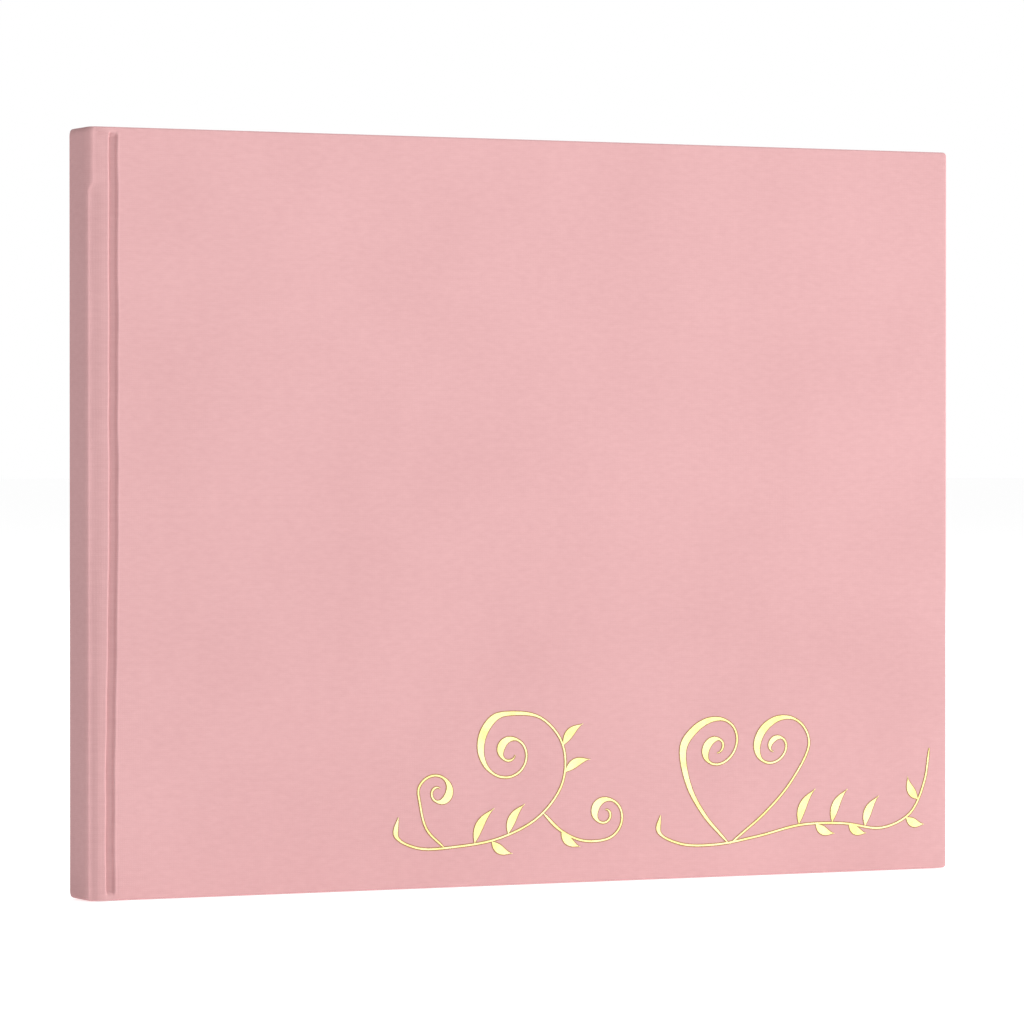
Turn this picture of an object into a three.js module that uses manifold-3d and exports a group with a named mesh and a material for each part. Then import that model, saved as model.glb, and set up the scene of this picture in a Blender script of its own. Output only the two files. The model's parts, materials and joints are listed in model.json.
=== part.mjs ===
// A landscape guest book, casebound in cloth over board, standing on its tail edge.
// Millimetres. +X runs from the spine to the fore-edge, the front cover faces -Y, +Z is up.
// The origin is the middle of the base.
import * as THREE from "three";
import { mergeVertices } from "three/addons/utils/BufferGeometryUtils.js";
import Module from "manifold-3d";

// ---- Driving dimensions --------------------------------------------------------------------

const BOOK_WIDTH = 229; // spine to fore-edge, over the cloth
const BOOK_HEIGHT = 178; // tail to head, over the cloth
const BOOK_DEPTH = 12; // front cover to back cover, over the cloth

const CLOTH = 0.32; // bookcloth with its glue
const COVER_BOARD = 2.4;
const SPINE_BOARD = 2;
const SPINE_BOARD_SIDE_GAP = 0.8; // space beside the spine board, where the cloth eases over its edge
const PAPER = 0.15; // endpapers
const GLUE_LINE = 0.05; // clearance left between glued layers
const EDGE_GAP = 0.25; // clearance left between the edges of neighbouring pieces
const SQUARE = 3; // how far the boards stand out past the pages
const TURN_IN = 14; // cloth folded over onto the inside of a board

const SHOULDER = 5.1; // flat part of the joint, from the spine to the groove
const GROOVE_WIDTH = 2.4;
const GROOVE_DEPTH = 1.5;
const COVER_PIVOT_IN = 1.7; // from the spine's face to the line where the joint cloth starts to bend
const MULL_FLAP = 24.6; // how far the mull reaches over each board

const SIGNATURES = 4;
const LEAVES_IN_SIGNATURE = 8;
const SINGLE_BACK_LEAVES = 4; // the last leaves of the book, modelled one by one
const BOUND_MARGIN = 3.4; // width of the folded backs that the binding holds flat
const PAGE_CLEARANCE = 0.06; // between neighbouring signatures
const LEAF_SHARE = 0.78; // of a leaf's pitch that is paper

const ORNAMENT_BASE = 2; // how far the ornament is raised from where its points are drawn
const FOIL = 0.06;
const FOIL_LIFT = 0.03; // clearance under the foil
const PEN_HAIRLINE = 0.55;
const PEN_FULL = 2.3;
const PEN_SLANT = THREE.MathUtils.degToRad(-118); // the way of the heaviest downstroke
const LEAF_WIDE = 2.3;

// ---- Places worked out from them -----------------------------------------------------------

const SPINE_X = -BOOK_WIDTH / 2;
const FORE_X = BOOK_WIDTH / 2;
const HALF_DEPTH = BOOK_DEPTH / 2;
const FRONT = -1; // the side of the front cover, as a sign on Y
const BACK = 1;

const GROOVE_START = SPINE_X + SHOULDER;
const GROOVE_END = GROOVE_START + GROOVE_WIDTH;
const BOARD_X = GROOVE_END + EDGE_GAP;
const PIVOT_X = SPINE_X + COVER_PIVOT_IN;

// Depths are counted from the outside of a cover inwards.
const boardDepth = CLOTH + GLUE_LINE;
const turnInDepth = boardDepth + COVER_BOARD + GLUE_LINE;
const pastedownDepth = turnInDepth + CLOTH + GLUE_LINE;
const flyleafDepth = pastedownDepth + PAPER + GLUE_LINE;
const blockDepth = flyleafDepth + PAPER + GLUE_LINE;

const signaturePitch = (BOOK_DEPTH - 2 * blockDepth) / SIGNATURES;
const signatureThickness = signaturePitch - PAGE_CLEARANCE;
const leafPitch = signaturePitch / LEAVES_IN_SIGNATURE;
const leafThickness = leafPitch * LEAF_SHARE;

// Distances in from the spine's face.
const LINING_IN = CLOTH + GLUE_LINE + SPINE_BOARD + GLUE_LINE + CLOTH + GLUE_LINE;
const KRAFT = 0.2;
const MULL = 0.2;
const BACK_GLUE = 0.3;
const THREAD = 0.3;
const mullIn = LINING_IN + KRAFT + GLUE_LINE;
const glueIn = mullIn + MULL + GLUE_LINE;
const threadIn = glueIn + BACK_GLUE + GLUE_LINE;
const foldIn = threadIn + THREAD + GLUE_LINE;

const FOLD_X = SPINE_X + foldIn;
const GUTTER_X = FOLD_X + BOUND_MARGIN; // the line that the leaves turn about
const BOUND_X = GUTTER_X - EDGE_GAP; // where the bound part of the backs ends
const LEAF_X = GUTTER_X + 0.1; // where the turning part of a leaf starts
const PAGE_FORE_X = FORE_X - SQUARE;
const PAGE_Z = [SQUARE, BOOK_HEIGHT - SQUARE];

// ---- Finishes ------------------------------------------------------------------------------

function finish(color, roughness, metalness = 0) {
  return new THREE.MeshStandardMaterial({ color, roughness, metalness });
}

const bookcloth = finish("#e9b6b7", 0.85);
const greyboard = finish("#9b948a", 0.95);
const goldFoil = finish("#f3dc8a", 0.28, 1);
const endpaper = finish("#f6f2ea", 0.9);
const pagePaper = finish("#f8f6f0", 0.9);
const kraftPaper = finish("#b98d5f", 0.95);
const mullCloth = finish("#efe9da", 0.95);
const bindersGlue = finish("#f2ecd8", 0.5);
const linenThread = finish("#f4f1e8", 0.8);
const bandCloth = finish("#fbf8f2", 0.7);

// ---- Solids --------------------------------------------------------------------------------

const wasm = await Module();
wasm.setup();

function solidOf(geometry) {
  const plain = geometry.clone();
  plain.deleteAttribute("normal");
  plain.deleteAttribute("uv");
  const merged = mergeVertices(plain, 1e-4);
  return new wasm.Manifold(
    new wasm.Mesh({
      numProp: 3,
      vertProperties: new Float32Array(merged.attributes.position.array),
      triVerts: new Uint32Array(merged.index.array),
    }),
  );
}

function geometryOf(solid) {
  const { vertProperties, triVerts, numProp, numVert } = solid.getMesh();
  const places = new Float32Array(numVert * 3);
  for (let i = 0; i < numVert; i++) {
    places.set(vertProperties.subarray(i * numProp, i * numProp + 3), i * 3);
  }
  const geometry = new THREE.BufferGeometry();
  geometry.setAttribute("position", new THREE.BufferAttribute(places, 3));
  geometry.setIndex(new THREE.BufferAttribute(new Uint32Array(triVerts), 1));
  geometry.computeVertexNormals();
  return geometry;
}

// A box between two limits along each axis.
function block([x0, x1], [y0, y1], [z0, z1]) {
  const box = new THREE.BoxGeometry(x1 - x0, y1 - y0, z1 - z0);
  return box.translate((x0 + x1) / 2, (y0 + y1) / 2, (z0 + z1) / 2);
}

// The limits along Y of a layer that lies between two depths below one cover's outside.
function layer(side, from, to) {
  const limits = [side * (HALF_DEPTH - from), side * (HALF_DEPTH - to)];
  return limits.sort((a, b) => a - b);
}

// An outline in X and Y, raised along Z between two heights.
function raised(outline, [z0, z1]) {
  const points = outline.map(([x, y]) => new THREE.Vector2(x, y));
  const shape = new THREE.Shape(points);
  const settings = { depth: z1 - z0, bevelEnabled: false };
  return new THREE.ExtrudeGeometry(shape, settings).translate(0, 0, z0);
}

function mesh(name, geometry, material) {
  const made = new THREE.Mesh(geometry, material);
  made.name = name;
  return made;
}

// ---- Case: boards and cloth ----------------------------------------------------------------

function coverBoard(side) {
  const inset = CLOTH + GLUE_LINE;
  return block(
    [BOARD_X, FORE_X - inset],
    layer(side, boardDepth, boardDepth + COVER_BOARD),
    [inset, BOOK_HEIGHT - inset],
  );
}

// Depth of the joint cloth's outer face at a place along X: flat, then pressed into the groove.
function jointDepth(x) {
  const share = THREE.MathUtils.clamp((x - GROOVE_START) / GROOVE_WIDTH, 0, 1);
  return GROOVE_DEPTH * Math.sin(Math.PI * share) ** 2;
}

function jointStrip(side) {
  const steps = 12;
  const start = PIVOT_X + 0.05;
  const end = BOARD_X;
  const places = [start];
  for (let i = 0; i <= steps; i++) {
    places.push(GROOVE_START + (GROOVE_WIDTH * i) / steps);
  }
  places.push(end);
  const face = (inner) => (x) => [x, side * (HALF_DEPTH - jointDepth(x) - inner)];
  const outline = [...places.map(face(0)), ...places.reverse().map(face(CLOTH))];
  return raised(outline, [0, BOOK_HEIGHT]);
}

// Cloth over a board's outside and round its head, tail and fore-edge, turned in on the inside.
function coverCloth(side) {
  const inside = turnInDepth + CLOTH;
  const wrap = solidOf(
    block([GROOVE_END, FORE_X], layer(side, 0, inside), [0, BOOK_HEIGHT]),
  );
  const boardSpace = solidOf(
    block(
      [GROOVE_END - 1, FORE_X - CLOTH],
      layer(side, CLOTH, turnInDepth),
      [CLOTH, BOOK_HEIGHT - CLOTH],
    ),
  );
  const window = solidOf(
    block(
      [GROOVE_END - 1, FORE_X - TURN_IN],
      layer(side, turnInDepth - 0.1, inside + 0.1),
      [TURN_IN, BOOK_HEIGHT - TURN_IN],
    ),
  );
  const cloth = wrap.subtract(boardSpace).subtract(window);
  return geometryOf(cloth.add(solidOf(jointStrip(side))));
}

function spineBoard() {
  const inset = CLOTH + GLUE_LINE;
  const halfWidth = HALF_DEPTH - inset - SPINE_BOARD_SIDE_GAP;
  return block(
    [SPINE_X + inset, SPINE_X + inset + SPINE_BOARD],
    [-halfWidth, halfWidth],
    [inset, BOOK_HEIGHT - inset],
  );
}

// Cloth over the spine board's outside and all four edges, turned in at head and tail.
function spineCloth() {
  const inner = SPINE_X + CLOTH + GLUE_LINE + SPINE_BOARD + GLUE_LINE;
  const flange = PIVOT_X - 0.05;
  const wrap = solidOf(
    block([SPINE_X, inner + CLOTH], [-HALF_DEPTH, HALF_DEPTH], [0, BOOK_HEIGHT]),
  );
  const boardSpace = solidOf(
    block(
      [SPINE_X + CLOTH, inner],
      [CLOTH - HALF_DEPTH, HALF_DEPTH - CLOTH],
      [CLOTH, BOOK_HEIGHT - CLOTH],
    ),
  );
  const opening = solidOf(
    block(
      [inner - 0.1, inner + CLOTH + 0.1],
      [-HALF_DEPTH, HALF_DEPTH],
      [TURN_IN, BOOK_HEIGHT - TURN_IN],
    ),
  );
  const cloth = wrap.subtract(boardSpace).subtract(opening);
  const sides = [FRONT, BACK].map((side) =>
    solidOf(
      block([flange, inner + 1], layer(side, -1, boardDepth), [-1, BOOK_HEIGHT + 1]),
    ),
  );
  return geometryOf(cloth.subtract(sides[0]).subtract(sides[1]));
}

// ---- Endpapers and mull flaps --------------------------------------------------------------

// The sheet pasted to the inside of a cover. Its middle is pressed down between the turn-ins.
function pastedown(side) {
  const flapEnd = BOARD_X + EDGE_GAP + MULL_FLAP;
  const sheet = solidOf(
    block(
      [BOARD_X, PAGE_FORE_X],
      layer(side, pastedownDepth, pastedownDepth + PAPER),
      PAGE_Z,
    ),
  );
  const middle = solidOf(
    block(
      [flapEnd + 2 * EDGE_GAP, FORE_X - TURN_IN - 2 * EDGE_GAP],
      layer(side, turnInDepth, pastedownDepth + PAPER / 2),
      [TURN_IN + 2 * EDGE_GAP, BOOK_HEIGHT - TURN_IN - 2 * EDGE_GAP],
    ),
  );
  return geometryOf(sheet.add(middle));
}

function mullFlap(side) {
  return block(
    [BOARD_X + EDGE_GAP, BOARD_X + EDGE_GAP + MULL_FLAP],
    layer(side, turnInDepth, turnInDepth + CLOTH),
    [TURN_IN + 1, BOOK_HEIGHT - TURN_IN - 1],
  );
}

// The folded edge that joins the pastedown and the flyleaf, tipped onto the book block.
function endpaperFold(side) {
  const outer = HALF_DEPTH - pastedownDepth;
  const inner = HALF_DEPTH - flyleafDepth - PAPER;
  const middle = (outer + inner) / 2;
  const radius = (outer - inner) / 2;
  const steps = 8;
  const bend = (r) =>
    Array.from({ length: steps + 1 }, (_, i) => {
      const angle = Math.PI / 2 + (Math.PI * i) / steps;
      return [FOLD_X + radius + r * Math.cos(angle), middle + r * Math.sin(angle)];
    });
  const outline = [
    [BOUND_X, outer],
    ...bend(radius),
    [BOUND_X, inner],
    [BOUND_X, inner + PAPER],
    ...bend(radius - PAPER).reverse(),
    [BOUND_X, outer - PAPER],
  ];
  const turned = outline.map(([x, y]) => [x, side * y]);
  return raised(turned, PAGE_Z);
}

function flyleaf(side) {
  const limits = layer(side, flyleafDepth, flyleafDepth + PAPER);
  return block([LEAF_X, PAGE_FORE_X], limits, PAGE_Z);
}

// ---- Book block ----------------------------------------------------------------------------

// How deep below the front cover a leaf lies, counting leaves from 0.
function leafDepth(index) {
  return blockDepth + index * leafPitch + (leafPitch - leafThickness) / 2;
}

function singleLeaf(index) {
  const from = leafDepth(index);
  return block([LEAF_X, PAGE_FORE_X], layer(FRONT, from, from + leafThickness), PAGE_Z);
}

// A run of leaves that turn together, from the first index up to but not including the last.
function leafBundle(first, last) {
  const from = leafDepth(first);
  const to = leafDepth(last - 1) + leafThickness;
  return block([LEAF_X, PAGE_FORE_X], layer(FRONT, from, to), PAGE_Z);
}

// A signature's folded back, round on the spine side.
function signatureFold(index) {
  const middle = blockDepth - HALF_DEPTH + signaturePitch * (index + 0.5);
  const radius = signatureThickness / 2;
  const steps = 8;
  const outline = [[BOUND_X, middle + radius]];
  for (let i = 0; i <= steps; i++) {
    const angle = Math.PI / 2 + (Math.PI * i) / steps;
    outline.push([FOLD_X + radius + radius * Math.cos(angle), middle + radius * Math.sin(angle)]);
  }
  outline.push([BOUND_X, middle - radius]);
  return raised(outline, PAGE_Z);
}

// ---- Inside the spine ----------------------------------------------------------------------

const blockHalf = HALF_DEPTH - blockDepth - 0.1;

function spineLayer(from, thickness, endGap) {
  return block(
    [SPINE_X + from, SPINE_X + from + thickness],
    [-blockHalf, blockHalf],
    [SQUARE + endGap, BOOK_HEIGHT - SQUARE - endGap],
  );
}

// One station of linked thread: a chain with a link for each step from signature to signature.
function sewingStation(height) {
  const links = SIGNATURES - 1;
  const half = signaturePitch * (links / 2);
  const steps = links * 6;
  const edge = (sign) =>
    Array.from({ length: steps + 1 }, (_, i) => {
      const along = -half + (2 * half * i) / steps;
      const swell = 0.35 + 0.3 * Math.abs(Math.sin((Math.PI * links * i) / steps));
      return [along, sign * swell];
    });
  const shape = new THREE.Shape(
    [...edge(1), ...edge(-1).reverse()].map(([y, z]) => new THREE.Vector2(y, z)),
  );
  const chain = new THREE.ExtrudeGeometry(shape, { depth: THREAD, bevelEnabled: false });
  // The outline's axes become Y and Z, and its thickness runs along X.
  const turn = new THREE.Matrix4().makeBasis(
    new THREE.Vector3(0, 1, 0),
    new THREE.Vector3(0, 0, 1),
    new THREE.Vector3(1, 0, 0),
  );
  return chain.applyMatrix4(turn).translate(SPINE_X + threadIn, 0, height);
}

// A band of rolled cloth along the backs, at the head or the tail.
function endBand(bottom) {
  const radius = 0.75;
  const steps = 10;
  const middle = FOLD_X + 0.9;
  const points = [];
  for (let i = 0; i < 2 * steps; i++) {
    const angle = (Math.PI * i) / steps;
    points.push(new THREE.Vector2(middle + radius * Math.cos(angle), radius * Math.sin(angle)));
  }
  const settings = { depth: 2 * blockHalf, bevelEnabled: false };
  const roll = new THREE.ExtrudeGeometry(new THREE.Shape(points), settings);
  return roll.rotateX(Math.PI / 2).translate(0, blockHalf, bottom + radius);
}

// ---- Gold foil ornament --------------------------------------------------------------------

// Points of a spiral round a middle, from one radius to another. Positive turns run anticlockwise.
function volute([cx, cz], fromRadius, toRadius, startDegrees, turns) {
  const steps = Math.max(4, Math.round(Math.abs(turns) * 12));
  return Array.from({ length: steps + 1 }, (_, i) => {
    const share = i / steps;
    const radius = fromRadius * (toRadius / fromRadius) ** share;
    const angle = THREE.MathUtils.degToRad(startDegrees) + 2 * Math.PI * turns * share;
    return [cx + radius * Math.cos(angle), cz + radius * Math.sin(angle)];
  });
}

// The heart leans with the pen: higher points move to the right.
function lean(points) {
  const slope = 0.2;
  const base = 6;
  return points.map(([x, z]) => [x + slope * (z - base), z]);
}

const scrollStem = [
  [-36, 15],
  [-36.5, 10.5],
  [-31, 7.6],
  [-21, 7.6],
  [-9, 9.4],
  [1.5, 14.4],
  [7.6, 22.5],
  [7.4, 31.5],
  [1.6, 37.8],
  [-6.4, 39],
  ...volute([-6.6, 29.6], 9.4, 1.5, 115, 1.62),
];
const scrollCurl = [
  [2.2, 15],
  [7, 10.6],
  [13, 8],
  ...volute([18.8, 14.2], 6, 1.2, -82, 1.45),
];
const scrollTendril = [
  [-24, 7.5],
  [-28.6, 12],
  [-30.4, 18.4],
  ...volute([-25.6, 20.6], 5.2, 1.1, 168, -1.3),
];

const HEART_X = 53; // the heart's point
const heartLobe = [
  ...volute([HEART_X - 8.2, 29.4], 1.3, 9.3, -434, 1.7),
  [HEART_X - 14.2, 20.6],
  [HEART_X - 8.4, 13.2],
  [HEART_X - 3, 8.4],
  [HEART_X, 5.9],
];
const heartOtherLobe = [
  [HEART_X + 0.2, 6],
  ...heartLobe
    .slice(0, -1)
    .reverse()
    .map(([x, z]) => [2 * HEART_X - x, z]),
];
const vineStem = [
  [HEART_X - 19, 13.5],
  [HEART_X - 19.4, 9.4],
  [HEART_X - 13.5, 6.4],
  [HEART_X - 4, 5.9],
  [HEART_X + 8, 7.6],
  [HEART_X + 20, 10],
  [HEART_X + 32, 10],
  [HEART_X + 43, 8.6],
  [HEART_X + 51, 12],
  [HEART_X + 55, 19.5],
  [HEART_X + 56.5, 28],
];

// Leaves of a spray: [share of the stem's length, heading in degrees, length].
const scrollLeaves = [
  [0.2, 58, 10],
  [0.27, 58, 8.6],
  [0.235, -30, 6.5],
  [0.44, 24, 7.5],
  [0.49, 44, 7.5],
];
const curlLeaves = [[0.14, -38, 6.5]];
const vineLeaves = [
  [0.47, 62, 10],
  [0.57, 62, 9.4],
  [0.67, 62, 8.6],
  [0.52, -26, 6],
  [0.62, -26, 5.6],
  [0.86, 118, 6.5],
  [0.8, -20, 5.6],
];

function curveThrough(points) {
  const places = points.map(([x, z]) => new THREE.Vector3(x, z, 0));
  return new THREE.CatmullRomCurve3(places, false, "centripetal");
}

// A flat outline raised off the front cover as a film of foil.
function film(outline) {
  const shape = new THREE.Shape(outline.map(([x, z]) => new THREE.Vector2(x, z)));
  const plate = new THREE.ExtrudeGeometry(shape, { depth: FOIL, bevelEnabled: false });
  return plate.rotateX(Math.PI / 2).translate(0, -HALF_DEPTH - FOIL_LIFT, ORNAMENT_BASE);
}

// The outline of a line whose width is given for each of its points.
function ribbon(points, widths) {
  const left = [];
  const right = [];
  points.forEach((point, i) => {
    const before = points[Math.max(0, i - 1)];
    const after = points[Math.min(points.length - 1, i + 1)];
    const heading = Math.atan2(after.y - before.y, after.x - before.x);
    const half = widths(heading, i) / 2;
    left.push([point.x - Math.sin(heading) * half, point.y + Math.cos(heading) * half]);
    right.push([point.x + Math.sin(heading) * half, point.y - Math.cos(heading) * half]);
  });
  return [...left, ...right.reverse()];
}

// A pen stroke: thick where the pen comes down along its slant, a hairline elsewhere.
function penStroke(points, taper = 6) {
  const path = curveThrough(points).getPoints((points.length - 1) * 2);
  const travelled = [0];
  for (let i = 1; i < path.length; i++) {
    travelled.push(travelled[i - 1] + path[i].distanceTo(path[i - 1]));
  }
  const total = travelled.at(-1);
  const width = (heading, i) => {
    const press = Math.max(0, Math.cos(heading - PEN_SLANT)) ** 1.6;
    const end = Math.min(1, Math.min(travelled[i], total - travelled[i]) / taper);
    const line = PEN_HAIRLINE * (0.5 + 0.5 * Math.min(1, end * 3));
    return line + (PEN_FULL - PEN_HAIRLINE) * press * end;
  };
  return film(ribbon(path, width));
}

// An almond leaf that grows from a stem and bows away from it.
function foilLeaf(stem, [share, degrees, length]) {
  const root = curveThrough(stem).getPointAt(share);
  const heading = THREE.MathUtils.degToRad(degrees);
  const bow = 0.12 * Math.sign(degrees) * length;
  const steps = 10;
  const path = Array.from({ length: steps + 1 }, (_, i) => {
    const along = (length * i) / steps;
    const off = bow * Math.sin((Math.PI * i) / steps);
    return new THREE.Vector3(
      root.x + Math.cos(heading) * along - Math.sin(heading) * off,
      root.y + Math.sin(heading) * along + Math.cos(heading) * off,
      0,
    );
  });
  const width = (_, i) => 0.1 + LEAF_WIDE * Math.sin(Math.PI * (i / steps) ** 0.8) ** 1.2;
  return film(ribbon(path, width));
}

function joined(geometries) {
  return geometryOf(geometries.map(solidOf).reduce((all, next) => all.add(next)));
}

function scrollSpray() {
  return joined([
    penStroke(scrollStem),
    penStroke(scrollCurl, 4),
    penStroke(scrollTendril, 4),
    ...scrollLeaves.map((leaf) => foilLeaf(scrollStem, leaf)),
    ...curlLeaves.map((leaf) => foilLeaf(scrollCurl, leaf)),
  ]);
}

function heartSpray() {
  return joined([
    penStroke(vineStem),
    penStroke(lean(heartLobe)),
    penStroke(lean(heartOtherLobe)),
    ...vineLeaves.map((leaf) => foilLeaf(vineStem, leaf)),
  ]);
}

// ---- The book ------------------------------------------------------------------------------

const spine = new THREE.Group();
spine.add(
  mesh("spine_board", spineBoard(), greyboard),
  mesh("spine_cloth", spineCloth(), bookcloth),
  mesh("spine_lining", spineLayer(LINING_IN, KRAFT, 1), kraftPaper),
  mesh("spine_mull", spineLayer(mullIn, MULL, TURN_IN - SQUARE + 1), mullCloth),
  mesh("spine_glue", spineLayer(glueIn, BACK_GLUE, 0.5), bindersGlue),
  mesh("head_band", endBand(BOOK_HEIGHT - SQUARE + GLUE_LINE), bandCloth),
  mesh("tail_band", endBand(SQUARE - GLUE_LINE - 1.5), bandCloth),
);
const stations = [15, 65, BOOK_HEIGHT - 65, BOOK_HEIGHT - 15];
stations.forEach((height, i) => {
  spine.add(mesh(`sewing_station_${i + 1}`, sewingStation(height), linenThread));
});

function cover(side, word) {
  const group = new THREE.Group();
  group.add(
    mesh(`${word}_board`, coverBoard(side), greyboard),
    mesh(`${word}_cover_cloth`, coverCloth(side), bookcloth),
    mesh(`${word}_pastedown`, pastedown(side), endpaper),
    mesh(`${word}_mull_flap`, mullFlap(side), mullCloth),
  );
  return group;
}

const frontCover = cover(FRONT, "front");
frontCover.add(
  mesh("foil_scroll_spray", scrollSpray(), goldFoil),
  mesh("foil_heart_spray", heartSpray(), goldFoil),
);
const backCover = cover(BACK, "back");

const pages = new THREE.Group();
for (let i = 0; i < SIGNATURES; i++) {
  pages.add(mesh(`signature_fold_${i + 1}`, signatureFold(i), pagePaper));
}
pages.add(
  mesh("front_endpaper_fold", endpaperFold(FRONT), endpaper),
  mesh("back_endpaper_fold", endpaperFold(BACK), endpaper),
  mesh("front_flyleaf", flyleaf(FRONT), endpaper),
  mesh("back_flyleaf", flyleaf(BACK), endpaper),
);
const leafCount = SIGNATURES * LEAVES_IN_SIGNATURE;
const firstSingleBack = leafCount - SINGLE_BACK_LEAVES;
for (let i = 0; i < leafCount; i++) {
  if (i < LEAVES_IN_SIGNATURE || i >= firstSingleBack) {
    pages.add(mesh(`leaf_${i + 1}`, singleLeaf(i), pagePaper));
  }
}
for (let i = 1; i < SIGNATURES; i++) {
  const first = i * LEAVES_IN_SIGNATURE;
  const last = Math.min(first + LEAVES_IN_SIGNATURE, firstSingleBack);
  pages.add(mesh(`signature_leaves_${i + 1}`, leafBundle(first, last), pagePaper));
}

const guestBook = new THREE.Group();
guestBook.add(spine, frontCover, backCover, pages);

export default guestBook;
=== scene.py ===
"""A landscape wedding guest book, casebound in pink bookcloth with gold-foil blocking.

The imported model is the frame. This script dresses it: it makes the case cloth, the foil, the
endpapers, the leaves and the end bands as fine meshes, gives every piece its material, and sets
the light and the camera. Everything is in metres, in the frame's own axes: +X from the spine to
the fore-edge, the front cover faces -Y, +Z is up.
"""

from __future__ import annotations

import json
import logging
import math
import random
from dataclasses import dataclass, field
from enum import Enum
from functools import partial
from typing import Callable, Iterable, Sequence

import bmesh
import bpy
import numpy as np
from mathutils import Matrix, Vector

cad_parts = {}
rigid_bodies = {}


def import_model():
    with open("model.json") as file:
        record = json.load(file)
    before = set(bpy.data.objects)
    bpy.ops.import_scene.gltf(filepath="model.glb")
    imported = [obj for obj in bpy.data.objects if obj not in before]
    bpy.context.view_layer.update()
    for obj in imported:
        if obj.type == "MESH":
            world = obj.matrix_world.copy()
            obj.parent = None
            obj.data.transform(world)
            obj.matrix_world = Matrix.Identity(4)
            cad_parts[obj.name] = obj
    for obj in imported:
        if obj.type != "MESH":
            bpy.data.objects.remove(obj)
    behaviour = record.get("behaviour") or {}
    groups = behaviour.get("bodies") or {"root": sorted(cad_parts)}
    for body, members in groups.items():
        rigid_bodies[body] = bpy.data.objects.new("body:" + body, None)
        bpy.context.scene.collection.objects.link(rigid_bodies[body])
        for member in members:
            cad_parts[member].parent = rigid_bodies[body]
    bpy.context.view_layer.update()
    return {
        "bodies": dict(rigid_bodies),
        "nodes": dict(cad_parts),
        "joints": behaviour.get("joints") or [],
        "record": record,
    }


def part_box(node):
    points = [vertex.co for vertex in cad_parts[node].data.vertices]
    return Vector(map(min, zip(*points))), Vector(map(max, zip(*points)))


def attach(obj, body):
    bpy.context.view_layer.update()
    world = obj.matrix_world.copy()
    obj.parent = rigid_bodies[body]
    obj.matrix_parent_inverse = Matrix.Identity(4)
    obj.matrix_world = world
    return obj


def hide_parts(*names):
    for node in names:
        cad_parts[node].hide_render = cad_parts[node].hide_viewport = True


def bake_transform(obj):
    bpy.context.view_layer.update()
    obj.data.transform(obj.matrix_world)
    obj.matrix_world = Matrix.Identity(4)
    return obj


log = logging.getLogger("guest_book")

MM = 0.001
TURN_IN = 14.0 * MM  # cloth folded over onto the inside of a board
PAPER = 0.15 * MM  # an endpaper's thickness

Point2 = tuple[float, float]
Stroke = tuple[np.ndarray, np.ndarray]  # a middle line, and the width at each of its points
Inputs = dict[str | int, object]  # input name or number to a value, or to the socket that feeds it
Adder = Callable[..., bpy.types.NodeSocket]


class Side(Enum):
    """A cover, as its sign on Y."""

    FRONT = -1
    BACK = 1

    @property
    def word(self) -> str:
        """The word that the frame's names start with on this side."""
        return self.name.lower()


# ---- Colour and node helpers ---------------------------------------------------------------


def linear(hex_colour: str) -> tuple[float, float, float, float]:
    """Turns an sRGB hex colour into the linear colour that a shader socket takes.

    Args:
        hex_colour: Six hex digits.

    Returns:
        Linear red, green and blue, and an alpha of 1.
    """
    channels = [int(hex_colour[i : i + 2], 16) / 255 for i in (0, 2, 4)]
    low = [c / 12.92 if c <= 0.04045 else ((c + 0.055) / 1.055) ** 2.4 for c in channels]
    return (low[0], low[1], low[2], 1.0)


def feed(node: bpy.types.Node, inputs: Inputs) -> None:
    """Gives a node's inputs their values, or the links that feed them."""
    for name, value in inputs.items():
        if isinstance(value, bpy.types.NodeSocket):
            node.id_data.links.new(value, node.inputs[name])
        else:
            node.inputs[name].default_value = value


def add_node(
    tree: bpy.types.NodeTree, kind: str, inputs: Inputs | None = None, out: str | int = 0, **settings: object
) -> bpy.types.NodeSocket:
    """Adds one node to a tree with its settings, its input values and its links.

    Args:
        tree: The tree to add to.
        kind: The node's type name.
        inputs: What its inputs hold.
        out: Name or number of the output that is wanted.
        settings: Attributes of the node to set.

    Returns:
        That output.
    """
    node = tree.nodes.new(kind)
    for name, value in settings.items():
        setattr(node, name, value)
    feed(node, inputs or {})
    return node.outputs[out]


def new_material(name: str) -> tuple[bpy.types.Material, Adder, bpy.types.Node]:
    """Makes an empty material with a Principled shader wired to its output.

    Args:
        name: The material's name.

    Returns:
        The material, add_node for its tree, and its Principled node.
    """
    material = bpy.data.materials.new(name)
    material.use_nodes = True
    tree = material.node_tree
    tree.nodes.clear()
    surface = add_node(tree, "ShaderNodeBsdfPrincipled")
    feed(tree.nodes.new("ShaderNodeOutputMaterial"), {"Surface": surface})
    return material, partial(add_node, tree), surface.node


def grain(place: bpy.types.NodeSocket, size_mm: float, detail: float, roughness: float = 0.5) -> Inputs:
    """What a noise texture is fed for patches of a real size."""
    return {"Vector": place, "Scale": 1 / (size_mm * MM), "Detail": detail, "Roughness": roughness}


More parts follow.
